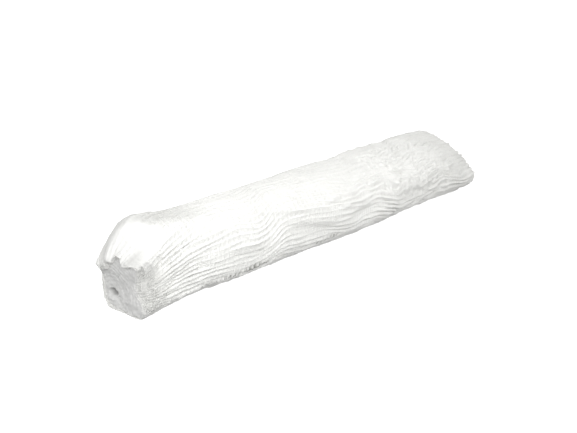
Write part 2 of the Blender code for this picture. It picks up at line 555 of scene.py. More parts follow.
class MeshMaker:
    """Makes meshes, in metres, from points in the roll's own millimetres.

    Attributes:
        middle: the middle of the roll's box, which lies over the frame's origin.
    """

    middle: Pair = (75.0, 4.1)

    @classmethod
    def piece(
        cls,
        name: str,
        points: np.ndarray,
        quads: np.ndarray,
        material: bpy.types.Material,
        depth: np.ndarray | None = None,
        others: np.ndarray | None = None,
    ) -> bpy.types.Object:
        """Make one piece of the roll.

        Args:
            name: the piece's name.
            points: its points, one row each.
            quads: four point numbers for each face.
            material: its finish.
            depth: the painted shade at each point, which darkens the colour: 1 is the finish's shade
                tint, more is darker.
            others: point numbers of the faces that don't have four corners.

        Returns:
            The object, riding on the roll's body.
        """
        placed = (points - (*cls.middle, 0.0)) * MM
        faces = quads.tolist() + ([] if others is None else others.tolist())
        mesh = bpy.data.meshes.new(name)
        mesh.from_pydata(placed.tolist(), [], faces)
        mesh.update()
        mesh.shade_smooth()
        if depth is not None:
            # The layer holds painted shade, which the finish turns into a darker colour.
            layer = mesh.attributes.new(PAINTED_SHADE_LAYER, "FLOAT", "POINT")
            layer.data.foreach_set("value", depth.astype(np.float32))
        mesh.materials.append(material)
        piece = bpy.data.objects.new(name, mesh)
        bpy.context.scene.collection.objects.link(piece)
        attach(piece, "root")
        return piece


@dataclass(frozen=True)
class CottonFinish:
    """Bleached cotton: matt and near white, with painted shade that greys it where the mesh's shade layer
    says.

    Attributes:
        name: the material's name.
        tint: colour of the open cloth.
        shade_tint: colour of the painted shade, in the troughs and other shaded places.
        roughness: how matt it is.
        sheen: strength of the pale fuzz at the edges.
        sheen_spread: how wide the fuzz spreads.
        gloss: how much light it mirrors.
        cloud_size: how fine the patches of stronger and weaker painted shade are, in cells for each
            metre.
        cloud_detail: finer layers in those patches.
        cloud_edges: noise values between which one patch goes over into the next.
        cloud_range: least and most of the painted shade that the patches let through.
        fibre_size: how fine the fibres are, in cells for each metre.
        fibre_detail: finer layers in them.
        fibre_height: how far the fibres stand up, in metres.
    """

    name: str
    tint: tuple[float, float, float]
    shade_tint: tuple[float, float, float]
    roughness: float = 0.92
    sheen: float = 0.12
    sheen_spread: float = 0.6
    gloss: float = 0.25
    cloud_size: float = 140.0
    cloud_detail: float = 3.0
    cloud_edges: Pair = (0.3, 0.7)
    cloud_range: Pair = (0.7, 1.1)
    fibre_size: float = 3500.0
    fibre_detail: float = 2.0
    fibre_height: float = 0.00006

    def material(self) -> bpy.types.Material:
        """Build the finish as a material.

        Returns:
            The material.
        """
        material = bpy.data.materials.new(self.name)
        material.use_nodes = True
        tree = material.node_tree
        shader = tree.nodes["Principled BSDF"]
        shader.inputs["Roughness"].default_value = self.roughness
        shader.inputs["Sheen Weight"].default_value = self.sheen
        shader.inputs["Sheen Roughness"].default_value = self.sheen_spread
        shader.inputs["Specular IOR Level"].default_value = self.gloss
        place = tree.nodes.new("ShaderNodeTexCoord").outputs["Object"]
        grey = self.grey(tree, place)
        tree.links.new(grey, shader.inputs["Base Color"])
        fibre = self.noise(tree, place, self.fibre_size, self.fibre_detail)
        bump = tree.nodes.new("ShaderNodeBump")
        bump.inputs["Distance"].default_value = self.fibre_height
        tree.links.new(fibre, bump.inputs["Height"])
        tree.links.new(bump.outputs["Normal"], shader.inputs["Normal"])
        return material

    @staticmethod
    def noise(
        tree: bpy.types.NodeTree, place: bpy.types.NodeSocket, scale: float, detail: float
    ) -> bpy.types.NodeSocket:
        """Add a noise texture.

        Args:
            tree: the material's nodes.
            place: the coordinates.
            scale: how fine it is, in cells for each metre.
            detail: how many finer layers it has.

        Returns:
            Its value.
        """
        noise = tree.nodes.new("ShaderNodeTexNoise")
        noise.inputs["Scale"].default_value = scale
        noise.inputs["Detail"].default_value = detail
        tree.links.new(place, noise.inputs["Vector"])
        return noise.outputs["Fac"]

    def grey(self, tree: bpy.types.NodeTree, place: bpy.types.NodeSocket) -> bpy.types.NodeSocket:
        """Blend the tint into the painted shade tint by the shade layer, a little unevenly.

        Args:
            tree: the material's nodes.
            place: the coordinates.

        Returns:
            The colour.
        """
        # Read the painted shade from the mesh's layer.
        deep = tree.nodes.new("ShaderNodeAttribute")
        deep.attribute_name = PAINTED_SHADE_LAYER
        uneven = tree.nodes.new("ShaderNodeMapRange")
        uneven.inputs["From Min"].default_value = self.cloud_edges[0]
        uneven.inputs["From Max"].default_value = self.cloud_edges[1]
        uneven.inputs["To Min"].default_value = self.cloud_range[0]
        uneven.inputs["To Max"].default_value = self.cloud_range[1]
        cloud = self.noise(tree, place, self.cloud_size, self.cloud_detail)
        tree.links.new(cloud, uneven.inputs["Value"])
        amount = tree.nodes.new("ShaderNodeMath")
        amount.operation = "MULTIPLY"
        tree.links.new(deep.outputs["Fac"], amount.inputs[0])
        tree.links.new(uneven.outputs["Result"], amount.inputs[1])
        blend = tree.nodes.new("ShaderNodeMix")
        blend.data_type = "RGBA"
        blend.clamp_factor = False
        blend.inputs["A"].default_value = (*self.tint, 1.0)
        blend.inputs["B"].default_value = (*self.shade_tint, 1.0)
        tree.links.new(amount.outputs["Value"], blend.inputs["Factor"])
        return blend.outputs["Result"]


@dataclass
class RollForm:
    """The wound form of the roll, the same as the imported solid's but followed more finely.

    Attributes:
        length: width of the gauze strip, so the length of the roll.
        sink: share of half the height by which the roll's foot is pressed flat.
        upper_power: squareness of the upper half of the cross-sections.
        face_depth: how far the hood end's face lies behind the end of the roll.
        face_dish: how much further in its middle lies.
        hole: the point that the hood is drawn in to, in Y and Z.
        pit: middle of the hole in the winding, in Y and Z.
        hole_depth: how deep the hole is.
        hole_size: half its width and half its height.
        lining_depth: how far behind the end of the roll the hood's lining reaches.
        lining_floor: shares of the way out at which the lining's bottom has rows.
        rim_pleats: scallops of the hood's mouth.
        pleat_depth: how deep they are, as a share of the way in.
        brow: where the hood slopes straight to its mouth.
        brow_slope: how straight it does.
        slope_power: how late the straight slope bends.
        pleat_power: how near the mouth the pleats stay.
        far_shoulder: radius of the bend at the plain end.
        far_inset: share by which that bend draws in.
        body_start: where the even rows of the body start.
        body_end: where they end.
        front: the place round the roll at which the crinkle wanders most.
        gather_middle: the place round the roll at which the ridges are gathered at the hood end.
        gather_edge: how far round the gathering reaches, and over how much it fades.
        single_stray: how far one ridge strays, in ridges.
        group_stray: how far a few ridges together stray, in ridges.
        ridges: crinkle ridges round the roll.
        samples: lines of points for each ridge.
        shoulder_rows: rows of points over the hood's bend.
        neck_rows: rows between that bend and the body.
        body_rows: rows along the body.
        far_rows: rows over the plain end's bend.
        outline_steps: steps of each stored cross-section.
        outline_finer: how many times finer it is worked out than it is stored.
        places: how many cross-sections are stored.
        columns: columns of the grid, worked out like all that follow.
        near_rim: the grid's row at the hood's mouth.
        near_end: its first row behind the hood's bend.
        body_row: its first row on the body.
        far_start: its first row on the plain end's bend.
        far_rim: its first row behind that bend.
        far_middle: the middle of the plain end, in Y and Z.
        shares: even places round the roll, one for each column.
        turned: the columns' places round the roll at the hood's mouth.
        rim_keep: share of the way out from the hole at which the mouth lies, for each column.
        outlines: the stored cross-sections.
        points: the grid, by row and by column.
        rounds: the place round the roll of each point.
        normals: the outward direction at each point.
        travel: the way over the surface to each point, with the body's start at its place along the roll.
        even_travel: the same, evened out round the roll.
    """

    length: float = 150.0
    sink: float = 0.06
    upper_power: float = 2.1
    face_depth: float = 3.0
    face_dish: float = 0.8
    hole: Pair = (3.6, 5.4)
    pit: Pair = (5.2, 4.3)
    hole_depth: float = 4.2
    hole_size: Pair = (1.25, 0.7)
    lining_depth: float = 8.5
    lining_floor: tuple[float, ...] = (0.1, 0.4, 0.7)
    rim_pleats: int = 13
    pleat_depth: float = 0.045
    brow: Patch = Patch(round_from=(0.31, 0.05), round_to=(0.73, 0.2))
    brow_slope: float = 0.7
    slope_power: float = 1.7
    pleat_power: float = 12.0
    far_shoulder: float = 1.8
    far_inset: float = 0.2
    body_start: float = 13.0
    body_end: float = 145.0
    front: float = 0.26
    gather_middle: float = 0.17
    gather_edge: Edge = (0.42, 0.3)
    single_stray: Unevenness = Unevenness(51, 6.0, RIDGES, size=0.22)
    group_stray: Unevenness = Unevenness(52, 5.0, RIDGES // 3, size=0.8)
    ridges: int = RIDGES
    samples: int = 4
    shoulder_rows: int = 20
    neck_rows: int = 20
    body_rows: int = 376
    far_rows: int = 9
    outline_steps: int = 240
    outline_finer: int = 6
    places: int = 301
    columns: int = field(init=False)
    near_rim: int = field(init=False)
    near_end: int = field(init=False)
    body_row: int = field(init=False)
    far_start: int = field(init=False)
    far_rim: int = field(init=False)
    far_middle: np.ndarray = field(init=False)
    shares: np.ndarray = field(init=False)
    turned: np.ndarray = field(init=False)
    rim_keep: np.ndarray = field(init=False)
    outlines: np.ndarray = field(init=False)
    points: np.ndarray = field(init=False)
    rounds: np.ndarray = field(init=False)
    normals: np.ndarray = field(init=False)
    travel: np.ndarray = field(init=False)
    even_travel: np.ndarray = field(init=False)

    def __post_init__(self) -> None:
        """Work out the outlines and the fine grid of the wound surface."""
        self.columns = self.ridges * self.samples
        self.shares = np.arange(self.columns) / self.columns
        self.turned = (self.shares + self.drift(np.zeros(1), self.shares)) % 1.0
        at = np.linspace(0.0, self.length, self.places)
        self.outlines = np.array([self.section_outline(float(place)) for place in at])
        near, near_rounds = self.near_surface()
        far, far_rounds = self.far_surface()
        self.points = np.concatenate([near, far])
        self.rounds = np.concatenate([near_rounds, far_rounds]) % 1.0
        self.normals = self.surface_normals(self.points)
        steps = np.linalg.norm(np.diff(self.points, axis=0), axis=2)
        travel = np.concatenate([np.zeros((1, self.columns)), np.cumsum(steps, axis=0)])
        self.travel = travel - travel[self.body_row] + self.body_start
        self.even_travel = np.broadcast_to(self.travel.mean(axis=1, keepdims=True), travel.shape)

    def section_outline(self, at: float) -> np.ndarray:
        """Work out the closed cross-section at one place along the roll.

        Args:
            at: the place along the roll.

        Returns:
            Y and Z of each point, by equal shares of the way round.
        """
        half_width, half_height, shift, lean, lower_power = (
            float(column(SECTIONS, name, np.array(at))) for name in Section._fields[1:]
        )
        angle = np.linspace(-pi / 2, 3 * pi / 2, self.outline_steps * self.outline_finer + 1)
        across, upward = np.cos(angle), np.sin(angle)
        power = np.where(upward > 0, self.upper_power, lower_power)
        side = -half_width * np.sign(across) * np.abs(across) ** (2 / power)
        height = half_height * (np.sign(upward) * np.abs(upward) ** (2 / power) + 1.0 - self.sink)
        height = np.maximum(height, 0.0) * (1.0 + lean * side / half_width)
        steps = np.hypot(np.diff(side), np.diff(height))
        travelled = np.concatenate([[0.0], np.cumsum(steps)])
        shares = np.linspace(0.0, travelled[-1], self.outline_steps + 1)
        yz = (side + shift, height)
        return np.stack([np.interp(shares, travelled, part) for part in yz], axis=1)

    def on_section(self, at: np.ndarray, share: np.ndarray) -> np.ndarray:
        """Find points of the outline.

        Args:
            at: places along the roll.
            share: places round the roll, one for each place along it.

        Returns:
            Y and Z, in the last axis.
        """
        along = np.clip(at / self.length, 0.0, 1.0) * (self.places - 1)
        return read_grid(self.outlines, along, (share % 1.0) * self.outline_steps)

    def drift(self, at: np.ndarray, share: np.ndarray) -> np.ndarray:
        """Find how far round the roll the crinkle's lines lie from their even places.

        Args:
            at: places along the roll.
            share: places round the roll.

        Returns:
            Shares of the way round.
        """
        stray = column(FLOWS, "wander", at) * self.group_stray.over(at, share)
        wander = (self.single_stray.over(at, share) + stray) / self.ridges
        share = share + wander
        moved = column(FLOWS, "shift", at) * wave_height(share - self.front)
        for wave in SLOW_WAVES:
            turns = at / wave.period + wave.turns * share + wave.phase
            moved = moved + wave.size * np.sin(2 * pi * turns)
        apart = wrapped(share - self.gather_middle)
        held = apart * falling(np.abs(apart), *self.gather_edge)
        return wander + moved / GIRTH + held * column(FLOWS, "squeeze", at)

    def near_surface(self) -> tuple[np.ndarray, np.ndarray]:
        """Follow the surface from the bottom of the hood's lining over its mouth and along the body.

        Returns:
            The points, row by row, and their places round the roll.
        """
        inset, reach, shoulder = (column(HOOD, name, self.turned) for name in HoodPlace._fields[1:])
        pleat = self.pleat_depth * np.cos(2 * pi * (self.rim_pleats * self.shares + 0.5))
        pleat = pleat * smooth_step(reach / self.face_depth)
        self.rim_keep = 1.0 - inset + pleat
        rim_at = self.face_depth - reach
        neck_at = rim_at + shoulder
        sloped = self.brow_slope * self.brow.over(rim_at, self.turned)
        same = np.ones(self.columns)
        floor_keep = self.rim_keep - LINING_STEPS[0].inset
        rows = [(same * self.lining_depth, floor_keep * left) for left in self.lining_floor]
        for step in LINING_STEPS:
            rows.append((rim_at + (self.lining_depth - rim_at) * step.back, self.rim_keep - step.inset))
        self.near_rim = len(rows)
        for turn in np.linspace(pi / 2, 0.0, self.shoulder_rows):
            drop = (1.0 - np.cos(turn)) * (1.0 - sloped) + np.sin(turn) ** self.slope_power * sloped
            keep = 1.0 - inset * drop + pleat * np.sin(turn) ** self.pleat_power
            rows.append((rim_at + shoulder * (1.0 - np.sin(turn)), keep))
        self.near_end = len(rows)
        for share in np.arange(1, self.neck_rows) / self.neck_rows:
            rows.append((neck_at + (self.body_start - neck_at) * share, same))
        self.body_row = len(rows)
        rows += [(same * at, same) for at in np.linspace(self.body_start, self.body_end, self.body_rows)]
        self.far_start = len(rows)
        at, keep = np.moveaxis(np.array(rows), 1, 0)
        inside = np.arange(len(at))[:, None] < self.near_rim
        drift_at = np.where(inside, 0.0, at)
        rounds = self.shares + self.drift(drift_at, np.broadcast_to(self.shares, at.shape))
        hole = np.array(self.hole)
        yz = hole + (self.on_section(at, rounds) - hole) * keep[..., None]
        return np.concatenate([at[..., None], yz], axis=2), rounds

    def far_surface(self) -> tuple[np.ndarray, np.ndarray]:
        """Follow the surface round the bend of the plain end and in to its middle.

        Returns:
            The points, row by row, and their places round the roll.
        """
        last = SECTIONS[-1]
        self.far_middle = np.array((last.shift, last.half_height * (1.0 - self.sink)))
        start = np.full(self.columns, self.length - self.far_shoulder)
        rounds = self.shares + self.drift(start, self.shares)
        spokes = self.on_section(start, rounds) - self.far_middle
        rows = []
        for turn in np.linspace(0.0, pi / 2, self.far_rows):
            rows.append((start + self.far_shoulder * sin(turn), 1.0 - self.far_inset * (1.0 - cos(turn))))
        self.far_rim = self.far_start + len(rows)
        rows += [(np.full(self.columns, self.length - step.depth), step.keep) for step in FAR_STEPS]
        points = [np.column_stack([at, self.far_middle + spokes * keep]) for at, keep in rows]
        return np.array(points), np.tile(rounds, (len(rows), 1))

    @staticmethod
    def surface_normals(points: np.ndarray) -> np.ndarray:
        """Find the outward direction at each point of the grid.

        Args:
            points: the grid, rows along the roll and columns round it.

        Returns:
            Unit vectors in the same layout.
        """
        along = np.gradient(points, axis=0)
        around = np.roll(points, -1, axis=1) - np.roll(points, 1, axis=1)
        normals = np.cross(along, around)
        return normals / np.maximum(np.linalg.norm(normals, axis=2, keepdims=True), 1e-9)


@dataclass
class Crinkle:
    """The relief of the crinkled weave on the roll's form, and the painted shade that greys the cloth.

    Attributes:
        form: the roll's form.
        round_pitch: distance between the beads along a ridge.
        pitch_chance: how far the beads stray, in beads.
        bead_height: height of the beads, where the round yarns cross a ridge.
        bead_power: how narrow the beads are.
        bead_share: share of the beads' height on a crest, and where a fold takes the ridges away.
        foot_beads: how much higher the beads are at the foot of the front.
        foot_round: the foot's place round the roll.
        foot_width: half its width, as a share of the way round.
        foot_end: where the higher beads end along the roll.
        profile: places across a ridge, and its height there.
        lively_mean: mean liveliness of the ridges' height.
        lively_range: its least and greatest value.
        ridge_chance: how the liveliness changes over the cloth.
        hood_patch: the hood, which is drawn smooth.
        hood_ridges: height of the ridges on it.
        hood_rough: fine crumpling on it.
        hood_bead_loss: share by which the beads are lower on it.
        top_patch: the top of the roll, which is calmer.
        top_calm: share of the ridges' height that it loses.
        crumple: height of the fine crumple.
        crumple_chance: how it changes over the cloth.
        near_front: middle and edge of the crumpled front on the near half, round the roll.
        far_front: the same on the far half.
        front_change: where the one goes over into the other along the roll.
        back_rough: share of the crumple that the back has.
        sunk: how far the cloth lies under the form, so that its ridges reach the form's size.
        near_sunk: how much further it lies under the form where it is crumpled on the near half.
        near_end: where the near half ends.
        buckle_chance: the slow bumps.
        steep_side: how many times steeper the one side of a fold is.
        rim_strength: share of the relief at the hood's mouth.
        rim_rows: rows over which the relief comes in before the mouth and before the end of its bend.
        rest_fade: height over the floor within which the relief comes in.
        rest_share: share of the relief at the floor.
        cut_round: place round the roll of the strip's cut end.
        cut_swing: how far its line swings, and over how long a stretch of the roll.
        cut_chance: how far it strays.
        cut_read: where in the chance pattern that is read, in the second direction.
        cut_step: how far the cut end stands up over the turn under it.
        cut_edge: how soon it does, as a share of the way round.
        cut_patch: where the last turn stands up.
        bead_light: share of a trough's painted shade that a bead takes away.
        shade_range: least and greatest liveliness of the ridges that counts for the painted shade.
        grey_shade_gain: what a painted grey of 1 adds to the painted shade layer.
        darkest_shade: greatest painted shade in the layer, on the cloth and in its open squares.
        corner_shade_patch: the corner beside the hood end's face, greyed with painted shade.
        rim_shade_patch: the edge at its lower back, greyed with painted shade.
        end_from: where the painted shade on the plain end starts, and over how much.
        end_shade: how strong that painted shade is.
        end_top: where that painted shade gets less towards the back, and over how much.
        end_loss: share of the grey that it loses there.
        low_shade_patch: the low front of the far half, darkened with painted shade.
        low_shade: how strong that painted shade is.
        calm_shade: how strong the painted shade is where the folds calm the ridges.
        crest_round: middle of the hood's band of painted shade round the roll, and how far it turns at
            the mouth.
        crest_turn: where that turn ends along the roll, and over how much.
        crest_edge: half the crest's width and its fade, round the roll.
        crest_end: where the crest ends along the roll, and over how much.
        crest_shade: how strong that painted shade is.
        mouth_shade_patch: the lower edge of the hood's mouth, darkened with painted shade.
        mouth_mean: mean share of it that shows.
        mouth_chance: how patchy it is.
        mouth_shade: how strong that painted shade is.
        speck_shade_patch: the corner in which the open squares of the net show, darkened with painted
            shade.
        speck_chance: which of them show.
        speck_shade: how dark their painted shade is.
        row_fade: over how much a row of open squares fades at its ends.
        row_shade: how dark the painted shade in the rows is.
        row_beads: height of the beads at which they close a row, and over how much.
        phase: how many beads along the roll each point lies, worked out like all that follow.
        bead: the height of the beads at each point, as a share.
        hood: how far inside the smooth hood each point lies.
        painted_grey: painted shade that greys the yarns, and the cloth, at each point.
        depth: the painted shade layer of the cloth.
        surface: the points of the cloth's surface, by row and by column of the form's grid.
    """

    form: RollForm
    round_pitch: float = 1.7
    pitch_chance: Unevenness = Unevenness(3, 9.0, 12, size=0.3)
    bead_height: float = 0.18
    bead_power: float = 1.5
    bead_share: float = 0.4
    foot_beads: float = 2.0
    foot_round: float = 0.125
    foot_width: float = 0.03
    foot_end: Edge = (95.0, 20.0)
    profile: tuple[tuple[float, ...], ...] = ((0.0, 0.25, 0.5, 0.75, 1.0), (0.5, 0.22, -0.5, 0.22, 0.5))
    lively_mean: float = 0.95
    lively_range: Pair = (0.08, 1.9)
    ridge_chance: tuple[Unevenness, ...] = (
        Unevenness(11, 7.0, RIDGES, size=0.75),
        Unevenness(12, 3.2, RIDGES, size=0.6),
        Unevenness(13, 16.0, 12, size=0.45),
    )
    hood_patch: Patch = Patch(at_to=(14.0, 8.0), round_from=(0.29, 0.05), round_to=(0.80, 0.05))
    hood_ridges: float = 0.2
    hood_rough: float = 0.1
    hood_bead_loss: float = 0.8
    top_patch: Patch = Patch(at_to=(105.0, 20.0), round_from=(0.29, 0.08), round_to=(0.9, 0.2))
    top_calm: float = 0.55
    crumple: float = 0.3
    crumple_chance: tuple[Unevenness, ...] = (
        Unevenness(61, 1.4, 54),
        Unevenness(62, 0.75, 100, size=0.7),
    )
    near_front: tuple[float, float, float] = (0.27, 0.5, 0.15)
    far_front: tuple[float, float, float] = (0.37, 0.2, 0.1)
    front_change: Edge = (60.0, 25.0)
    back_rough: float = 0.25
    sunk: float = 0.25
    near_sunk: float = 0.3
    near_end: float = 60.0
    buckle_chance: Unevenness = Unevenness(21, 11.0, 14, size=0.3)
    steep_side: float = 2.3
    rim_strength: float = 0.8
    rim_rows: int = 6
    rest_fade: float = 0.7
    rest_share: float = 0.25
    cut_round: float = 0.88
    cut_swing: Pair = (0.012, 31.0)
    cut_chance: Unevenness = Unevenness(71, 3.0, 4, size=0.004)
    cut_read: float = 0.3
    cut_step: float = 0.5
    cut_edge: float = 0.006
    cut_patch: Patch = Patch(at_from=(6.0, 6.0), round_from=(0.6, 0.2))
    bead_light: float = 0.75
    shade_range: Pair = (0.1, 1.3)
    grey_shade_gain: float = 2.0
    darkest_shade: Pair = (1.8, 4.0)
    corner_shade_patch: Patch = Patch(at_to=(12.0, 8.0), round_to=(0.34, 0.09))
    rim_shade_patch: Patch = Patch(at_to=(6.0, 4.0), round_from=(0.8, 0.04))
    end_from: Edge = (127.0, 14.0)
    end_shade: float = 0.35
    end_top: Edge = (0.42, 0.1)
    end_loss: float = 0.5
    low_shade_patch: Patch = Patch(
        at_from=(98.0, 14.0), at_to=(146.0, 20.0), round_from=(0.12, 0.06), round_to=(0.33, 0.05)
    )
    low_shade: float = 0.28
    calm_shade: float = 0.3
    crest_round: Pair = (0.5, 0.12)
    crest_turn: Edge = (10.0, 8.0)
    crest_edge: Edge = (0.09, 0.05)
    crest_end: Edge = (34.0, 16.0)
    crest_shade: float = 0.6
    mouth_shade_patch: Patch = Patch(at_to=(6.5, 4.0), round_from=(0.2, 0.06), round_to=(0.41, 0.06))
    mouth_mean: float = 0.75
    mouth_chance: Unevenness = Unevenness(63, 2.2, 40, size=0.5)
    mouth_shade: float = 0.9
    speck_shade_patch: Patch = Patch(
        at_from=(0.5, 2.0), at_to=(22.0, 10.0), round_from=(0.14, 0.06), round_to=(0.39, 0.1)
    )
    speck_chance: Unevenness = Unevenness(64, 1.1, 62, size=1.5)
    speck_shade: float = 0.7
    row_fade: float = 2.5
    row_shade: float = 6.0
    row_beads: Edge = (0.5, 0.4)
    phase: np.ndarray = field(init=False)
    bead: np.ndarray = field(init=False)
    hood: np.ndarray = field(init=False)
    painted_grey: np.ndarray = field(init=False)
    depth: np.ndarray = field(init=False)
    surface: np.ndarray = field(init=False)

    def __post_init__(self) -> None:
        """Work out the relief and the painted shade of every point of the form's grid."""
        form = self.form
        at, round_at = form.points[:, :, 0], form.rounds
        share = np.broadcast_to(form.shares, at.shape)
        self.phase = form.even_travel / self.round_pitch + self.pitch_chance.over(form.travel, share)
        self.bead = wave_height(self.phase) ** self.bead_power
        self.hood = self.hood_patch.over(at, round_at)
        folds, left = self.folds(at, round_at)
        lively = self.lively_mean + sum(layer.over(form.travel, share) for layer in self.ridge_chance)
        lively = np.clip(lively, *self.lively_range) * left
        line = np.arange(form.columns) % form.samples / form.samples
        profile = np.interp(line, *self.profile)[None, :]
        trough = np.clip(0.5 - profile, 0.0, 1.0)
        ridges = profile * lively * self.ridge_height(at, round_at)
        beads = self.bead * self.beads_height(at, round_at) * (self.bead_share + trough)
        beads = beads * (self.bead_share + (1.0 - self.bead_share) * left)
        loose = self.looseness(at, round_at, share)
        fade = smooth_step(self.rest_share + form.points[:, :, 2] / self.rest_fade)
        strength = self.strength()
        self.surface = self.raised((ridges + beads + loose + folds) * strength * fade)
        self.painted_grey = self.greyness(at, round_at, left)
        # Painted shade: the colour darkens in the troughs, less under the beads and not on the hood, and
        # more where the cloth is painted grey.
        shade = trough * (1.0 - self.bead_light * self.bead) * np.clip(lively, *self.shade_range)
        shade = shade * (1.0 - self.hood)
        shade = np.clip(shade + self.grey_shade_gain * self.painted_grey, 0.0, self.darkest_shade[0])
        # Painted shade in the open squares and rows of the net, and on the yarns over the rows.
        gap_shade, shaded_yarns = self.gap_shade(at, round_at)
        self.depth = np.clip(shade + gap_shade, 0.0, self.darkest_shade[1]) * strength
        self.painted_grey = self.painted_grey + shaded_yarns

    def strength(self) -> np.ndarray:
        """Find the share of the relief that each row of the grid has, none inside the two ends.

        Returns:
            One share for each row, in a column.
        """
        form, last = self.form, len(self.form.points) - 1
        starts = (0, form.near_rim - self.rim_rows, form.near_rim)
        ends = (form.near_end - self.rim_rows, form.far_rim, last)
        shares = (0.0, 0.0, self.rim_strength, 1.0, 1.0, 0.0)
        return np.interp(np.arange(last + 1), starts + ends, shares)[:, None]

    def ridge_height(self, at: np.ndarray, round_at: np.ndarray) -> np.ndarray:
        """Find the ridges' height before chance changes it.

        Args:
            at: places along the roll.
            round_at: places round the roll.

        Returns:
            Millimetres.
        """
        flat = self.top_calm * self.top_patch.over(at, round_at)
        height = column(FLOWS, "height", at) * (1.0 - flat)
        return height * (1.0 - self.hood) + self.hood_ridges * self.hood

    def beads_height(self, at: np.ndarray, round_at: np.ndarray) -> np.ndarray:
        """Find the beads' height: less on the hood, more at the foot of the front.

        Args:
            at: places along the roll.
            round_at: places round the roll.

        Returns:
            Millimetres.
        """
        foot = np.exp(-(((round_at - self.foot_round) / self.foot_width) ** 2))
        foot = foot * falling(at, *self.foot_end)
        return self.bead_height * (1.0 - self.hood_bead_loss * self.hood + self.foot_beads * foot)

    def looseness(self, at: np.ndarray, round_at: np.ndarray, share: np.ndarray) -> np.ndarray:
        """Find the crumple, the slow bumps and the step at the cut end.

        Args:
            at: places along the roll.
            round_at: places round the roll.
            share: the same, before the crinkle's lines drift.

        Returns:
            Millimetres outward.
        """
        far = rising(at, *self.front_change)
        near_front, far_front = (
            falling(np.abs(round_at - middle), reach, fade)
            for middle, reach, fade in (self.near_front, self.far_front)
        )
        front = near_front * (1.0 - far) + far_front * far
        rough = column(FLOWS, "rough", at) * (self.back_rough + (1.0 - self.back_rough) * front)
        rough = rough * (1.0 - self.hood) + self.hood_rough * self.hood
        crumple = sum(layer.over(self.form.travel, round_at) for layer in self.crumple_chance)
        sunk = self.sunk + self.near_sunk * rough * (at < self.near_end)
        buckle = self.buckle_chance.over(self.form.travel, share)
        return self.crumple * crumple * rough + buckle - sunk + self.cut_lip(at, round_at)

    def greyness(self, at: np.ndarray, round_at: np.ndarray, left: np.ndarray) -> np.ndarray:
        """Find the painted shade that greys the cloth and its yarns: by the hood end, on the plain end,
        low on the front, under the folds and at the hood's crest and mouth.

        Args:
            at: places along the roll.
            round_at: places round the roll.
            left: share of the ridges' height that the folds leave.

        Returns:
            Shares, 1 for the finish's painted shade tint on a yarn.
        """
        # Painted shade in the corner beside the hood end's face and along the edge at its lower back.
        edge_shade = self.corner_shade_patch.over(at, round_at) * (1.0 - self.hood)
        edge_shade = edge_shade + self.rim_shade_patch.over(at, round_at)
        # Painted shade that darkens the plain end, less towards its back.
        end = self.end_shade * rising(at, *self.end_from)
        end = end * (1.0 - self.end_loss * rising(round_at, *self.end_top))
        # Painted shade on the low front of the far half.
        low = self.low_shade * self.low_shade_patch.over(at, round_at)
        # These add up to the painted shade, with more under the folds that calm the ridges.
        grey = np.clip(edge_shade + end + low + self.calm_shade * (1.0 - left), 0.0, 1.0)
        # Painted shade along the hood's crest, where its top turns away from the light.
        crest_at = self.crest_round[0] + self.crest_round[1] * falling(at, *self.crest_turn)
        crest = falling(np.abs(round_at - crest_at), *self.crest_edge) * falling(at, *self.crest_end)
        # Patchy painted shade under the hood's mouth.
        patchy = np.clip(self.mouth_mean + self.mouth_chance.over(at, round_at), 0.0, 1.0)
        mouth = self.mouth_shade_patch.over(at, round_at) * patchy
        return np.maximum.reduce([grey, self.crest_shade * crest, self.mouth_shade * mouth])

    def gap_shade(self, at: np.ndarray, round_at: np.ndarray) -> tuple[np.ndarray, np.ndarray]:
        """Find the painted shade in the net's open squares: by the hood's lower corner and low on the
        front.

        Args:
            at: places along the roll.
            round_at: places round the roll.

        Returns:
            What to add to the shade layer of the cloth, and to the painted grey of the yarns.
        """
        # Painted shade in the open squares of the net by the hood's corner.
        specks = np.clip(self.speck_chance.over(self.form.travel, round_at), 0.0, self.speck_shade)
        rows, yarns = np.zeros(at.shape), np.zeros(at.shape)
        # Painted shade in the rows low on the front, and on the yarns over them.
        for row in SHADOW_ROWS:
            off = round_at - row.round - row.slant * (at - row.start)
            here = rising(at, row.start, self.row_fade) * falling(at, row.end, self.row_fade)
            here = here * np.exp(-((off / row.width) ** 2))
            rows += self.row_shade * here
            yarns += row.yarns * here**2
        between = falling(self.bead, *self.row_beads)
        return self.speck_shade_patch.over(at, round_at) * specks + rows * between, yarns

    def cut_line(self, at: np.ndarray) -> np.ndarray:
        """Find where the strip's cut end lies.

        Args:
            at: places along the roll.

        Returns:
            Its places round the roll.
        """
        swing, length = self.cut_swing
        stray = self.cut_chance.over(at, np.full(at.shape, self.cut_read))
        return self.cut_round + swing * np.sin(at / length) + stray

    def cut_lip(self, at: np.ndarray, round_at: np.ndarray) -> np.ndarray:
        """Find how far the last turn stands up over the one under it, up to its cut end.

        Args:
            at: places along the roll.
            round_at: places round the roll.

        Returns:
            Millimetres outward.
        """
        edge = smooth_step((self.cut_line(at) - round_at) / self.cut_edge)
        return self.cut_step * self.cut_patch.over(at, round_at) * edge

    def follow(self, rows: np.ndarray, places: np.ndarray) -> tuple[np.ndarray, np.ndarray]:
        """Read the cloth's surface between the points of the grid.

        Args:
            rows: rows of the grid, in parts of a row.
            places: columns of the grid, in parts of a column.

        Returns:
            Points and outward directions.
        """
        rows = np.clip(rows, 0.0, len(self.surface) - 1.001)
        both = np.concatenate([self.surface, self.form.normals], axis=2)
        found = read_grid(both, rows, places)
        return found[..., :3], found[..., 3:]

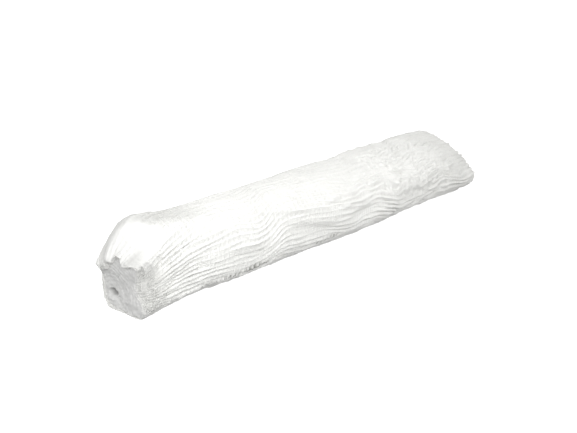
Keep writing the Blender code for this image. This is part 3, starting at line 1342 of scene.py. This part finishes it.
    def folds(self, at: np.ndarray, round_at: np.ndarray) -> tuple[np.ndarray, np.ndarray]:
        """Add up the soft folds, each with one side steeper than the other.

        Args:
            at: places along the roll.
            round_at: places round the roll.

        Returns:
            Millimetres outward, and the share of the ridges' height that the folds leave.
        """
        total, left = np.zeros(at.shape), np.ones(at.shape)
        for fold in FOLDS:
            off = wrapped(round_at - fold.round - fold.slant * (at - fold.at)) * GIRTH / fold.width
            along = (at - fold.at) / fold.length
            steep = np.where(off * fold.height < 0, self.steep_side * off, off)
            total += fold.height * np.exp(-(along**2) - steep**2)
            left *= 1.0 - fold.calm * np.exp(-(along**4) - off**4)
        return total, left

    def raised(self, height: np.ndarray) -> np.ndarray:
        """Lift the grid's points along their normals.

        Args:
            height: how far, for each point.

        Returns:
            The lifted points, none of them under the surface that the roll lies on.
        """
        lifted = self.form.points + self.form.normals * height[:, :, None]
        lifted[:, :, 2] = np.maximum(lifted[:, :, 2], 0.0)
        return lifted


@dataclass
class WoundGauze:
    """The outer turns of the gauze, one closed surface with its crinkle.

    Attributes:
        crinkle: the relief of the weave.
        finish: the cotton's finish.
        middle_shades: the painted shade at the middles of the hood end and the plain end.
    """

    crinkle: Crinkle
    finish: CottonFinish
    middle_shades: Pair = (1.0, 0.5)

    def build(self) -> bpy.types.Object:
        """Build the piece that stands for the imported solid.

        Returns:
            The piece.
        """
        grid = self.crinkle.surface
        rows, columns = grid.shape[:2]
        count = rows * columns
        middles = [grid[0].mean(axis=0), grid[-1].mean(axis=0)]
        points = np.concatenate([grid.reshape(-1, 3), middles])
        near_fan = fan_faces(count, 0, columns)
        far_fan = fan_faces(count + 1, count - columns, columns)[:, [0, 2, 1]]
        # Painted shade for every point, and for the middles of the two end caps.
        depth = np.concatenate([self.crinkle.depth.ravel(), self.middle_shades])
        fans = np.concatenate([near_fan, far_fan])
        faces = grid_faces(rows, columns)
        piece = MeshMaker.piece("wound_gauze", points, faces, self.finish.material(), depth, fans)
        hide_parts(SOLID)
        return piece


class YarnRun(Enum):
    """Which way a yarn of the weave runs."""

    ROUND = "round"
    ALONG = "along"


@dataclass
class Yarns:
    """The yarns of the open weave, lying on the crinkled surface.

    Attributes:
        crinkle: the relief that they lie on.
        finish: the cotton's finish.
        run: which way they run.
        radius: half a yarn's thickness.
        stretch: which share of the roll's length they cover, for yarns that run round it.
        each_bead: yarns that run round the roll for each bead.
        sides: sides of a yarn.
        along_step: rows of the grid for each point of a yarn that runs along the roll.
        lift: how far a yarn's middle lies above the cloth, in radii.
        hood_sink: how much lower it lies on the hood, in radii.
    """

    crinkle: Crinkle
    finish: CottonFinish
    run: YarnRun
    radius: float
    stretch: Pair = (0.0, 1.0)
    each_bead: int = 2
    sides: int = 3
    along_step: int = 3
    lift: float = 0.35
    hood_sink: float = 0.9

    def lifted(self) -> np.ndarray:
        """Find the grid on which the yarns' middles lie, lower on the hood."""
        lift = self.radius * (self.lift - self.hood_sink * self.crinkle.hood)
        return self.crinkle.surface + self.crinkle.form.normals * lift[..., None]

    def round_paths(self) -> tuple[np.ndarray, np.ndarray, np.ndarray]:
        """Find the closed paths of the yarns that run round the roll.

        Returns:
            Points, outward directions and the grey of the painted shade, one row for each yarn.
        """
        crinkle, form = self.crinkle, self.crinkle.form
        phase = crinkle.phase * self.each_bead
        first = int(np.ceil(phase[form.near_rim].max()))
        last = int(np.floor(phase[form.far_rim].min()))
        first, last = (first + round((last - first) * share) for share in self.stretch)
        lifted = self.lifted()
        paths, outward, greyness = [], [], []
        for number in range(first, last):
            points, normals, greys = [], [], []
            for place in range(form.columns):
                row = np.interp(number, phase[:, place], np.arange(len(phase)))
                low = int(row)
                part = row - low
                points.append(lifted[low, place] * (1 - part) + lifted[low + 1, place] * part)
                normals.append(form.normals[low, place])
                greys.append(crinkle.painted_grey[low, place])
            paths.append(points)
            outward.append(normals)
            greyness.append(greys)
        return np.array(paths), np.array(outward), np.array(greyness)

    def along_paths(self) -> tuple[np.ndarray, np.ndarray, np.ndarray]:
        """Find the paths of the yarns that run along the roll.

        Returns:
            Points, outward directions and the grey of the painted shade, one row for each yarn.
        """
        crinkle, form = self.crinkle, self.crinkle.form
        rows = np.arange(form.near_rim - 1, form.far_rim + 1, self.along_step)
        places = np.arange(0, form.columns, form.samples // 2)
        paths = np.moveaxis(self.lifted()[rows][:, places], 0, 1)
        outward = np.moveaxis(form.normals[rows][:, places], 0, 1)
        return paths, outward, crinkle.painted_grey[rows][:, places].T

    def build(self, name: str) -> bpy.types.Object:
        """Build all yarns of one run as one piece.

        Args:
            name: the piece's name.

        Returns:
            The piece.
        """
        closed = self.run is YarnRun.ROUND
        paths, outward, greyness = self.round_paths() if closed else self.along_paths()
        points, quads, caps = tubes(paths, outward, self.radius, self.sides, closed)
        points[:, 2] = np.maximum(points[:, 2], 0.0)
        depth = np.repeat(greyness.ravel(), self.sides)
        return MeshMaker.piece(name, points, quads, self.finish.material(), depth, caps)


class RollEnd(Enum):
    """The two ends of the roll."""

    HOOD = "hood"
    PLAIN = "plain"


@dataclass
class InnerTurns:
    """The cut edges of the inner turns, sunk in one end of the roll.

    Attributes:
        form: the roll's form.
        finish: the cotton's finish.
        end: which end of the roll it is.
        columns: points in each ring.
        face_rows: rings of the face.
        first_ring: how far out the first of them lies, as a share.
        tuck_rows: rings of its edge, which bends in under the outer turns.
        tuck: how far that edge bends in.
        tuck_keep: how far inside the outer turns' edge its bend starts, and how far outside it ends.
        flush: where round the roll the hood end's face lies flush with the outer turns.
        plain_depth: how far the plain end's face lies behind the end of the roll.
        plain_hole: half the width and half the height of the plain end's hole.
        seeds: the chance patterns of the hood end and the plain end.
        wrap: height after which they repeat.
        crumple: height of the face's crumple.
        fine_share: height of its finer layer, as a share of that.
        turn_pitch: distance between the edges of the turns.
        turn_height: how far they stand up.
        turn_fade: within how far of the hole they fade.
        dish_reach: how far round the hole the face is dished.
        hole_edge: how far out the hole's side ends, in its own half sizes.
        trough_foot: lower end of the trough that runs down from the hole, in Y and Z.
        trough_depth: its depth.
        trough_width: half its width.
        fold: middle of the small fold, in Y and Z.
        fold_size: half its width and half its height.
        fold_edge: how far out its side ends, in its own half sizes.
        fold_height: how far it stands up.
        top_fullness: how far the top of the face stands out.
        top_edge: how far over the middle that starts, and over how much.
        beak: the point of the face below the hood's beak, in Y and Z.
        beak_size: half the width and half the height of the part that stands out there.
        beak_edge: how far out its side ends, in its own half sizes.
        beak_fullness: how far it does.
        grey: painted shade over the face, in the shade layer.
        hole_shade: painted shadow that the hole adds to it.
        hooded: whether it is the hood end, worked out like all that follow.
        seed: the first chance pattern of this end.
        inward: the direction into the roll, 1 or -1 along it.
        face_at: where the face lies along the roll.
        hole_size: half the width and half the height of this end's hole.
        middle: the point that the rings lie round, in Y and Z.
        pit: the middle of the hole, in Y and Z.
        turned: even places round the roll, one for each column.
        rim_keep: share of the way out at which the outer turns' edge lies, for each column.
    """

    form: RollForm
    finish: CottonFinish
    end: RollEnd
    columns: int = 260
    face_rows: int = 46
    first_ring: float = 0.02
    tuck_rows: int = 6
    tuck: float = 1.5
    tuck_keep: Pair = (0.03, 0.05)
    flush: Patch = Patch(round_from=(0.08, 0.06), round_to=(0.33, 0.05))
    plain_depth: float = 1.0
    plain_hole: Pair = (0.6, 0.6)
    seeds: tuple[int, int] = (41, 45)
    wrap: float = 120.0
    crumple: float = 0.2
    fine_share: float = 0.6
    turn_pitch: float = 1.1
    turn_height: float = 0.09
    turn_fade: float = 5.0
    dish_reach: float = 9.0
    hole_edge: float = 1.6
    trough_foot: Pair = (2.0, 1.8)
    trough_depth: float = 0.9
    trough_width: float = 0.8
    fold: Pair = (6.2, 2.4)
    fold_size: Pair = (1.6, 0.6)
    fold_edge: float = 1.4
    fold_height: float = 0.5
    top_fullness: float = 1.1
    top_edge: Edge = (2.0, 6.0)
    beak: Pair = (7.8, 13.0)
    beak_size: Pair = (2.0, 2.0)
    beak_edge: float = 1.5
    beak_fullness: float = 1.3
    grey: float = 0.7
    hole_shade: float = 4.0
    hooded: bool = field(init=False)
    seed: int = field(init=False)
    inward: float = field(init=False)
    face_at: float = field(init=False)
    hole_size: Pair = field(init=False)
    middle: np.ndarray = field(init=False)
    pit: np.ndarray = field(init=False)
    turned: np.ndarray = field(init=False)
    rim_keep: np.ndarray = field(init=False)

    def __post_init__(self) -> None:
        """Find the end's middle, its face and the edge of the outer turns round it."""
        form = self.form
        self.hooded = self.end is RollEnd.HOOD
        self.turned = np.arange(self.columns) / self.columns
        if self.hooded:
            self.seed, self.inward, self.face_at = self.seeds[0], 1.0, form.face_depth
            self.middle, self.pit = np.array(form.hole), np.array(form.pit)
            self.hole_size = form.hole_size
            order = np.argsort(form.turned)
            self.rim_keep = np.interp(self.turned, form.turned[order], form.rim_keep[order], period=1.0)
        else:
            self.seed, self.inward, self.face_at = self.seeds[1], -1.0, form.length - self.plain_depth
            self.middle, self.pit = form.far_middle, form.far_middle
            self.hole_size = self.plain_hole
            self.rim_keep = np.full(self.columns, 1.0 - form.far_inset)

    def layer(self, number: int, spacing: float, cells: int, size: float) -> Unevenness:
        """Make one layer of the face's chance unevenness.

        Args:
            number: which layer it is.
            spacing: millimetres between its changes across the face.
            cells: how many changes there are in the wrap of the height.
            size: its greatest value.

        Returns:
            The layer.
        """
        return Unevenness(self.seed + number, spacing, cells, size, self.wrap)

    def face_height(self, side: np.ndarray, height: np.ndarray) -> np.ndarray:
        """Work out how far the face stands out from the roll.

        Args:
            side: Y of each point.
            height: Z of each point.

        Returns:
            Millimetres outward.
        """
        away = np.hypot(side - self.pit[0], height - self.pit[1])
        turn = np.arctan2(height - self.pit[1], side - self.pit[0])
        wander = self.layer(0, spacing=3.0, cells=40, size=0.5).over(side, height)
        turns = np.cos(2 * pi * (away / self.turn_pitch - turn / (2 * pi) + wander))
        raised = self.turn_height * turns * smooth_step(away / self.turn_fade)
        raised += self.layer(1, spacing=1.1, cells=110, size=self.crumple).over(side, height)
        fine = self.fine_share * self.crumple
        raised += self.layer(2, spacing=0.6, cells=200, size=fine).over(side, height)
        raised -= self.form.face_dish * smooth_step(1.0 - away / self.dish_reach)
        raised -= self.form.hole_depth * self.in_hole(side, height)
        return raised + self.hood_marks(side, height) if self.hooded else raised

    def in_hole(self, side: np.ndarray, height: np.ndarray) -> np.ndarray:
        """Find how far inside the hole in the winding each point lies.

        Args:
            side: Y of each point.
            height: Z of each point.

        Returns:
            Shares, 1 well inside it.
        """
        return smooth_step(self.hole_edge - half_sizes_away(side, height, self.pit, self.hole_size))

    def hood_marks(self, side: np.ndarray, height: np.ndarray) -> np.ndarray:
        """Add the trough, the small fold and the fuller parts of the hood end's face.

        Args:
            side: Y of each point.
            height: Z of each point.

        Returns:
            Millimetres outward.
        """
        run = np.array(self.trough_foot) - self.pit
        across, up = side - self.pit[0], height - self.pit[1]
        part = np.clip((across * run[0] + up * run[1]) / (run @ run), 0.0, 1.0)
        off = np.hypot(across - part * run[0], up - part * run[1])
        trough = self.trough_depth * smooth_step(1.0 - off / self.trough_width)
        fold = half_sizes_away(side, height, self.fold, self.fold_size)
        beak = half_sizes_away(side, height, self.beak, self.beak_size)
        full = self.top_fullness * rising(height - self.middle[1], *self.top_edge)
        full += self.beak_fullness * smooth_step(self.beak_edge - beak)
        return full + self.fold_height * smooth_step(self.fold_edge - fold) - trough

    def ring(self, keep: np.ndarray, sunk: float, lively: float) -> np.ndarray:
        """Lay one ring of points.

        Args:
            keep: share of the way from the middle to the roll's outline.
            sunk: how far the ring lies behind the face.
            lively: share of the face's relief that it has.

        Returns:
            The points.
        """
        at = np.full(self.columns, self.face_at + self.inward * sunk)
        outline = self.form.on_section(at, self.turned)
        yz = self.middle + (outline - self.middle) * keep[:, None]
        yz[:, 1] = np.maximum(yz[:, 1], 0.0)
        x = at - self.inward * lively * self.face_height(yz[:, 0], yz[:, 1])
        return np.concatenate([x[:, None], yz], axis=1)

    def build(self, name: str) -> bpy.types.Object:
        """Build the piece, a sheet of edges from the hole to under the outer turns.

        Args:
            name: the piece's name.

        Returns:
            The piece.
        """
        inner, outer = self.tuck_keep
        flush = self.hooded * outer * self.flush.over(np.zeros(1), self.turned)
        foot, edge = self.rim_keep - inner + flush, self.rim_keep + outer + flush
        shares = np.linspace(self.first_ring, 1.0, self.face_rows)
        rings = [self.ring(foot * share, 0.0, 1.0) for share in shares]
        for turn in np.linspace(0.0, pi / 2, self.tuck_rows)[1:]:
            keep = foot + (edge - foot) * sin(turn)
            rings.append(self.ring(keep, self.tuck * (1.0 - cos(turn)), cos(turn)))
        points = np.concatenate([*rings, [rings[0].mean(axis=0)]])
        quads = grid_faces(len(rings), self.columns)
        fan = fan_faces(len(rings) * self.columns, 0, self.columns)
        if not self.hooded:
            quads, fan = quads[:, ::-1], fan[:, ::-1]
        # Painted shade over the whole face, and a painted shadow in the hole.
        depth = self.grey + self.hole_shade * self.in_hole(points[:, 1], points[:, 2])
        return MeshMaker.piece(name, points, quads, self.finish.material(), depth, fan)


@dataclass
class LooseThreads:
    """Short threads that lie on the cloth: strays, most at the gathered end, and the cut end's fray.

    Attributes:
        crinkle: the cloth's relief.
        finish: the cotton's finish.
        steps: points of each thread.
        radius: half a thread's thickness.
        sides: sides of a thread.
        corner: first and last place round the roll of the gathered corner.
        corner_strays: strays in that corner.
        rim_strays: strays at the hood's mouth.
        body_strays: strays over the rest of the roll.
        corner_rows: rows past the hood's bend that the corner's strays still reach.
        rim_margin: rows before and after the mouth's edge in which its strays start.
        stray_reach: how far a stray goes at most, in rows and columns.
        stray_curl: how far it bends aside at most, in rows and columns.
        stray_rise: how far it stands up at most.
        fray_margin: rows left out at the hood's bend, and added at the plain end.
        fray_step: rows of the grid for each thread of the fray.
        fray_root: columns before the cut end at which its threads start.
        fray_reach: least and greatest length of its threads, in columns.
        fray_slant: how far they usually go astray along the roll, in rows.
        fray_curl: how far they usually bend aside, in rows and columns.
        fray_rise: how far they stand up at most.
        stray_seed: the chance pattern of the strays.
        fray_seed: that of the fray.
    """

    crinkle: Crinkle
    finish: CottonFinish
    steps: int = 8
    radius: float = 0.07
    sides: int = 3
    corner: Pair = (0.06, 0.33)
    corner_strays: int = 200
    rim_strays: int = 90
    body_strays: int = 220
    corner_rows: int = 8
    rim_margin: tuple[int, int] = (1, 4)
    stray_reach: float = 5.0
    stray_curl: float = 1.8
    stray_rise: float = 0.3
    fray_margin: tuple[int, int] = (2, 4)
    fray_step: float = 1.5
    fray_root: float = 1.5
    fray_reach: Pair = (3.0, 7.5)
    fray_slant: float = 1.2
    fray_curl: float = 0.7
    fray_rise: float = 0.15
    stray_seed: int = 81
    fray_seed: int = 82

    def lay(
        self, name: str, starts: np.ndarray, ends: np.ndarray, curl: np.ndarray, rise: np.ndarray
    ) -> bpy.types.Object:
        """Lay threads over the grid of the cloth and build them.

        Args:
            name: the piece's name.
            starts: row and column at which each thread starts.
            ends: row and column at which it ends.
            curl: how far it bends aside, in rows and columns.
            rise: how far its middle stands up.

        Returns:
            The piece.
        """
        part = np.linspace(0.0, 1.0, self.steps)[None, :, None]
        bend = np.sin(pi * part)
        way = starts[:, None] * (1 - part) + ends[:, None] * part + curl[:, None] * bend
        paths, outward = self.crinkle.follow(way[..., 0], way[..., 1])
        paths = paths + outward * (self.radius + rise[:, None, None] * bend)
        paths[..., 2] = np.maximum(paths[..., 2], self.radius)
        points, quads, caps = tubes(paths, outward, self.radius, self.sides, False)
        return MeshMaker.piece(name, points, quads, self.finish.material(), others=caps)

    def build_strays(self) -> bpy.types.Object:
        """Build the stray threads, most of them at the gathered end.

        Returns:
            The piece.
        """
        form, chance = self.crinkle.form, np.random.default_rng(self.stray_seed)
        first, last = self.corner
        corner = np.flatnonzero((form.turned > first) & (form.turned < last))
        before, after = self.rim_margin
        rows = np.concatenate([
            chance.uniform(form.near_rim, form.near_end + self.corner_rows, self.corner_strays),
            chance.uniform(form.near_rim - before, form.near_rim + after, self.rim_strays),
            chance.uniform(form.near_end, form.far_rim, self.body_strays),
        ])
        places = np.concatenate([
            chance.choice(corner, self.corner_strays).astype(float),
            chance.uniform(0.0, form.columns, self.rim_strays + self.body_strays),
        ])
        starts = np.stack([rows, places], axis=1)
        ends = starts + chance.uniform(-self.stray_reach, self.stray_reach, starts.shape)
        ends[:, 0] = np.clip(ends[:, 0], form.near_rim - before, form.far_rim)
        curl = chance.uniform(-self.stray_curl, self.stray_curl, starts.shape)
        rise = chance.uniform(0.0, self.stray_rise, len(rows))
        return self.lay("stray_threads", starts, ends, curl, rise)

    def build_fray(self) -> bpy.types.Object:
        """Build the fray of the strip's cut end, where it lies at the back of the roll.

        Returns:
            The piece.
        """
        form, chance = self.crinkle.form, np.random.default_rng(self.fray_seed)
        left_out, added = self.fray_margin
        rows = np.arange(form.near_end + left_out, form.far_start + added, self.fray_step)
        grid_rows = np.round(rows).astype(int)
        away = wrapped(form.rounds[grid_rows] - self.crinkle.cut_line(form.points[grid_rows, :, 0]))
        places = np.argmin(np.abs(away), axis=1).astype(float)
        starts = np.stack([rows, places - self.fray_root], axis=1)
        slant = chance.normal(0.0, self.fray_slant, len(rows))
        reach = chance.uniform(*self.fray_reach, len(rows))
        ends = starts + np.stack([slant, reach], axis=1)
        curl = chance.normal(0.0, self.fray_curl, starts.shape)
        rise = chance.uniform(0.0, self.fray_rise, len(rows))
        return self.lay("cut_end_fray", starts, ends, curl, rise)


@dataclass(frozen=True)
class Lamp:
    """One soft studio light.

    Attributes:
        name: its name.
        place: where it stands, in metres.
        width: the width of its face, in metres.
        height: the height of its face, in metres.
        power: its strength in watts.
    """

    name: str
    place: tuple[float, float, float]
    width: float
    height: float
    power: float

    def build(self) -> bpy.types.Object:
        """Build the light, facing the roll.

        Returns:
            The light.
        """
        light = bpy.data.lights.new(self.name, "AREA")
        light.shape = "RECTANGLE"
        light.size = self.width
        light.size_y = self.height
        light.energy = self.power
        lamp = bpy.data.objects.new(self.name, light)
        lamp.location = self.place
        lamp.rotation_mode = "QUATERNION"
        lamp.rotation_quaternion = (-Vector(self.place)).to_track_quat("-Z", "Y")
        bpy.context.scene.collection.objects.link(lamp)
        return lamp


@dataclass
class Studio:
    """The pale floor, the light all round and the soft lamp.

    Attributes:
        floor_size: width of the floor, in metres.
        sky: strength of the light from above.
        bounce: strength of the light that comes back up from the floor.
        horizon: height over and under the horizon within which the one goes over into the other.
        floor_tint: how pale the floor is.
        floor_roughness: how matt it is.
        floor_glow: light that the floor gives off by itself.
        key: the lamp.
    """

    floor_size: float = 6.0
    sky: float = 0.71
    bounce: float = 0.54
    horizon: float = 0.1
    floor_tint: float = 0.9
    floor_roughness: float = 0.9
    floor_glow: float = 0.8
    key: Lamp = Lamp("key_light", place=(-0.161, -0.201, 0.169), width=0.42, height=0.08, power=0.72)

    def build_floor(self) -> bpy.types.Object:
        """Build the floor, which is no part of the roll.

        Returns:
            The floor.
        """
        half = self.floor_size / 2
        mesh = bpy.data.meshes.new("studio_floor")
        corners = [(-half, -half, 0.0), (half, -half, 0.0), (half, half, 0.0), (-half, half, 0.0)]
        mesh.from_pydata(corners, [], [(0, 1, 2, 3)])
        material = bpy.data.materials.new("pale_floor")
        material.use_nodes = True
        shader = material.node_tree.nodes["Principled BSDF"]
        shader.inputs["Base Color"].default_value = (*[self.floor_tint] * 3, 1.0)
        shader.inputs["Roughness"].default_value = self.floor_roughness
        shader.inputs["Specular IOR Level"].default_value = 0.0
        shader.inputs["Emission Color"].default_value = (1.0, 1.0, 1.0, 1.0)
        shader.inputs["Emission Strength"].default_value = self.floor_glow
        mesh.materials.append(material)
        floor = bpy.data.objects.new("studio_floor", mesh)
        bpy.context.scene.collection.objects.link(floor)
        floor.visible_diffuse = False
        return floor

    def build_sky(self) -> bpy.types.World:
        """Build the light all round, weaker from below than from above.

        Returns:
            The world that gives it.
        """
        world = bpy.data.worlds.new("studio_sky")
        world.use_nodes = True
        tree = world.node_tree
        background = tree.nodes["Background"]
        background.inputs["Color"].default_value = (1.0, 1.0, 1.0, 1.0)
        toward = tree.nodes.new("ShaderNodeTexCoord")
        part = tree.nodes.new("ShaderNodeSeparateXYZ")
        height = tree.nodes.new("ShaderNodeMapRange")
        height.inputs["From Min"].default_value = -self.horizon
        height.inputs["From Max"].default_value = self.horizon
        height.inputs["To Min"].default_value = self.bounce
        height.inputs["To Max"].default_value = self.sky
        tree.links.new(toward.outputs["Generated"], part.inputs["Vector"])
        tree.links.new(part.outputs["Z"], height.inputs["Value"])
        tree.links.new(height.outputs["Result"], background.inputs["Strength"])
        return world

    def build(self) -> None:
        """Build the floor and all lights, and set how the picture shows them."""
        bpy.context.scene.world = self.build_sky()
        self.build_floor()
        self.key.build()
        bpy.context.scene.view_settings.view_transform = "Standard"


@dataclass(frozen=True)
class PhotoView:
    """The camera at the photograph's viewing angle.

    Attributes:
        elevation: how far above the horizon it stands, in degrees.
        azimuth: how far round towards the hood end it stands from the front, in degrees.
        place: where it stands, in metres.
        lens: focal length in millimetres.
        sensor: width of the sensor in millimetres.
        clip: nearest and farthest that it sees, in metres.
    """

    elevation: float = 19.36
    azimuth: float = 47.15
    place: tuple[float, float, float] = (-0.2327, -0.2104, 0.1171)
    lens: float = 68.63
    sensor: float = 36.0
    clip: Pair = (0.01, 20.0)

    def build(self) -> bpy.types.Object:
        """Build the camera and make it the scene's own.

        Returns:
            The camera.
        """
        turn, tilt = radians(self.azimuth), radians(self.elevation)
        right = Vector((cos(turn), -sin(turn), 0.0))
        forward = Vector((sin(turn) * cos(tilt), cos(turn) * cos(tilt), -sin(tilt)))
        upward = right.cross(forward)
        data = bpy.data.cameras.new("photo_view")
        data.lens = self.lens
        data.sensor_width = self.sensor
        data.clip_start, data.clip_end = self.clip
        camera = bpy.data.objects.new("photo_view", data)
        turned = Matrix((right, upward, -forward)).transposed().to_4x4()
        camera.matrix_world = Matrix.Translation(self.place) @ turned
        bpy.context.scene.collection.objects.link(camera)
        bpy.context.scene.camera = camera
        return camera


def main() -> None:
    """Build the view, the studio and the dressed roll, and report each piece."""
    logging.basicConfig(level=logging.INFO, format="%(name)s: %(message)s")
    PhotoView().build()
    Studio().build()
    cloth = CottonFinish("bleached_gauze", tint=(0.86, 0.86, 0.84), shade_tint=(0.70, 0.70, 0.68))
    # A darker copy of the cotton for the end faces: painted shade for the overhang and the cavities
    # between the turns' cut edges.
    edges = CottonFinish("shaded_cut_edges", tint=(0.70, 0.70, 0.69), shade_tint=(0.60, 0.60, 0.59))
    thread = CottonFinish("cotton_yarn", tint=(0.88, 0.88, 0.86), shade_tint=(0.70, 0.70, 0.68))
    form = RollForm()
    crinkle = Crinkle(form)
    near_yarns = Yarns(crinkle, thread, YarnRun.ROUND, radius=0.12, stretch=(0.0, 0.5))
    far_yarns = Yarns(crinkle, thread, YarnRun.ROUND, radius=0.12, stretch=(0.5, 1.0))
    along_yarns = Yarns(crinkle, thread, YarnRun.ALONG, radius=0.1)
    loose = LooseThreads(crinkle, thread)
    pieces = [
        WoundGauze(crinkle, cloth).build(),
        near_yarns.build("round_yarns_hood_half"),
        far_yarns.build("round_yarns_plain_half"),
        along_yarns.build("along_yarns"),
        InnerTurns(form, edges, RollEnd.HOOD).build("hood_end_turns"),
        InnerTurns(form, edges, RollEnd.PLAIN).build("plain_end_turns"),
        loose.build_strays(),
        loose.build_fray(),
    ]
    for piece in pieces:
        LOG.info("%s: %d faces", piece.name, len(piece.data.polygons))


if __name__ == "__main__":
    main()
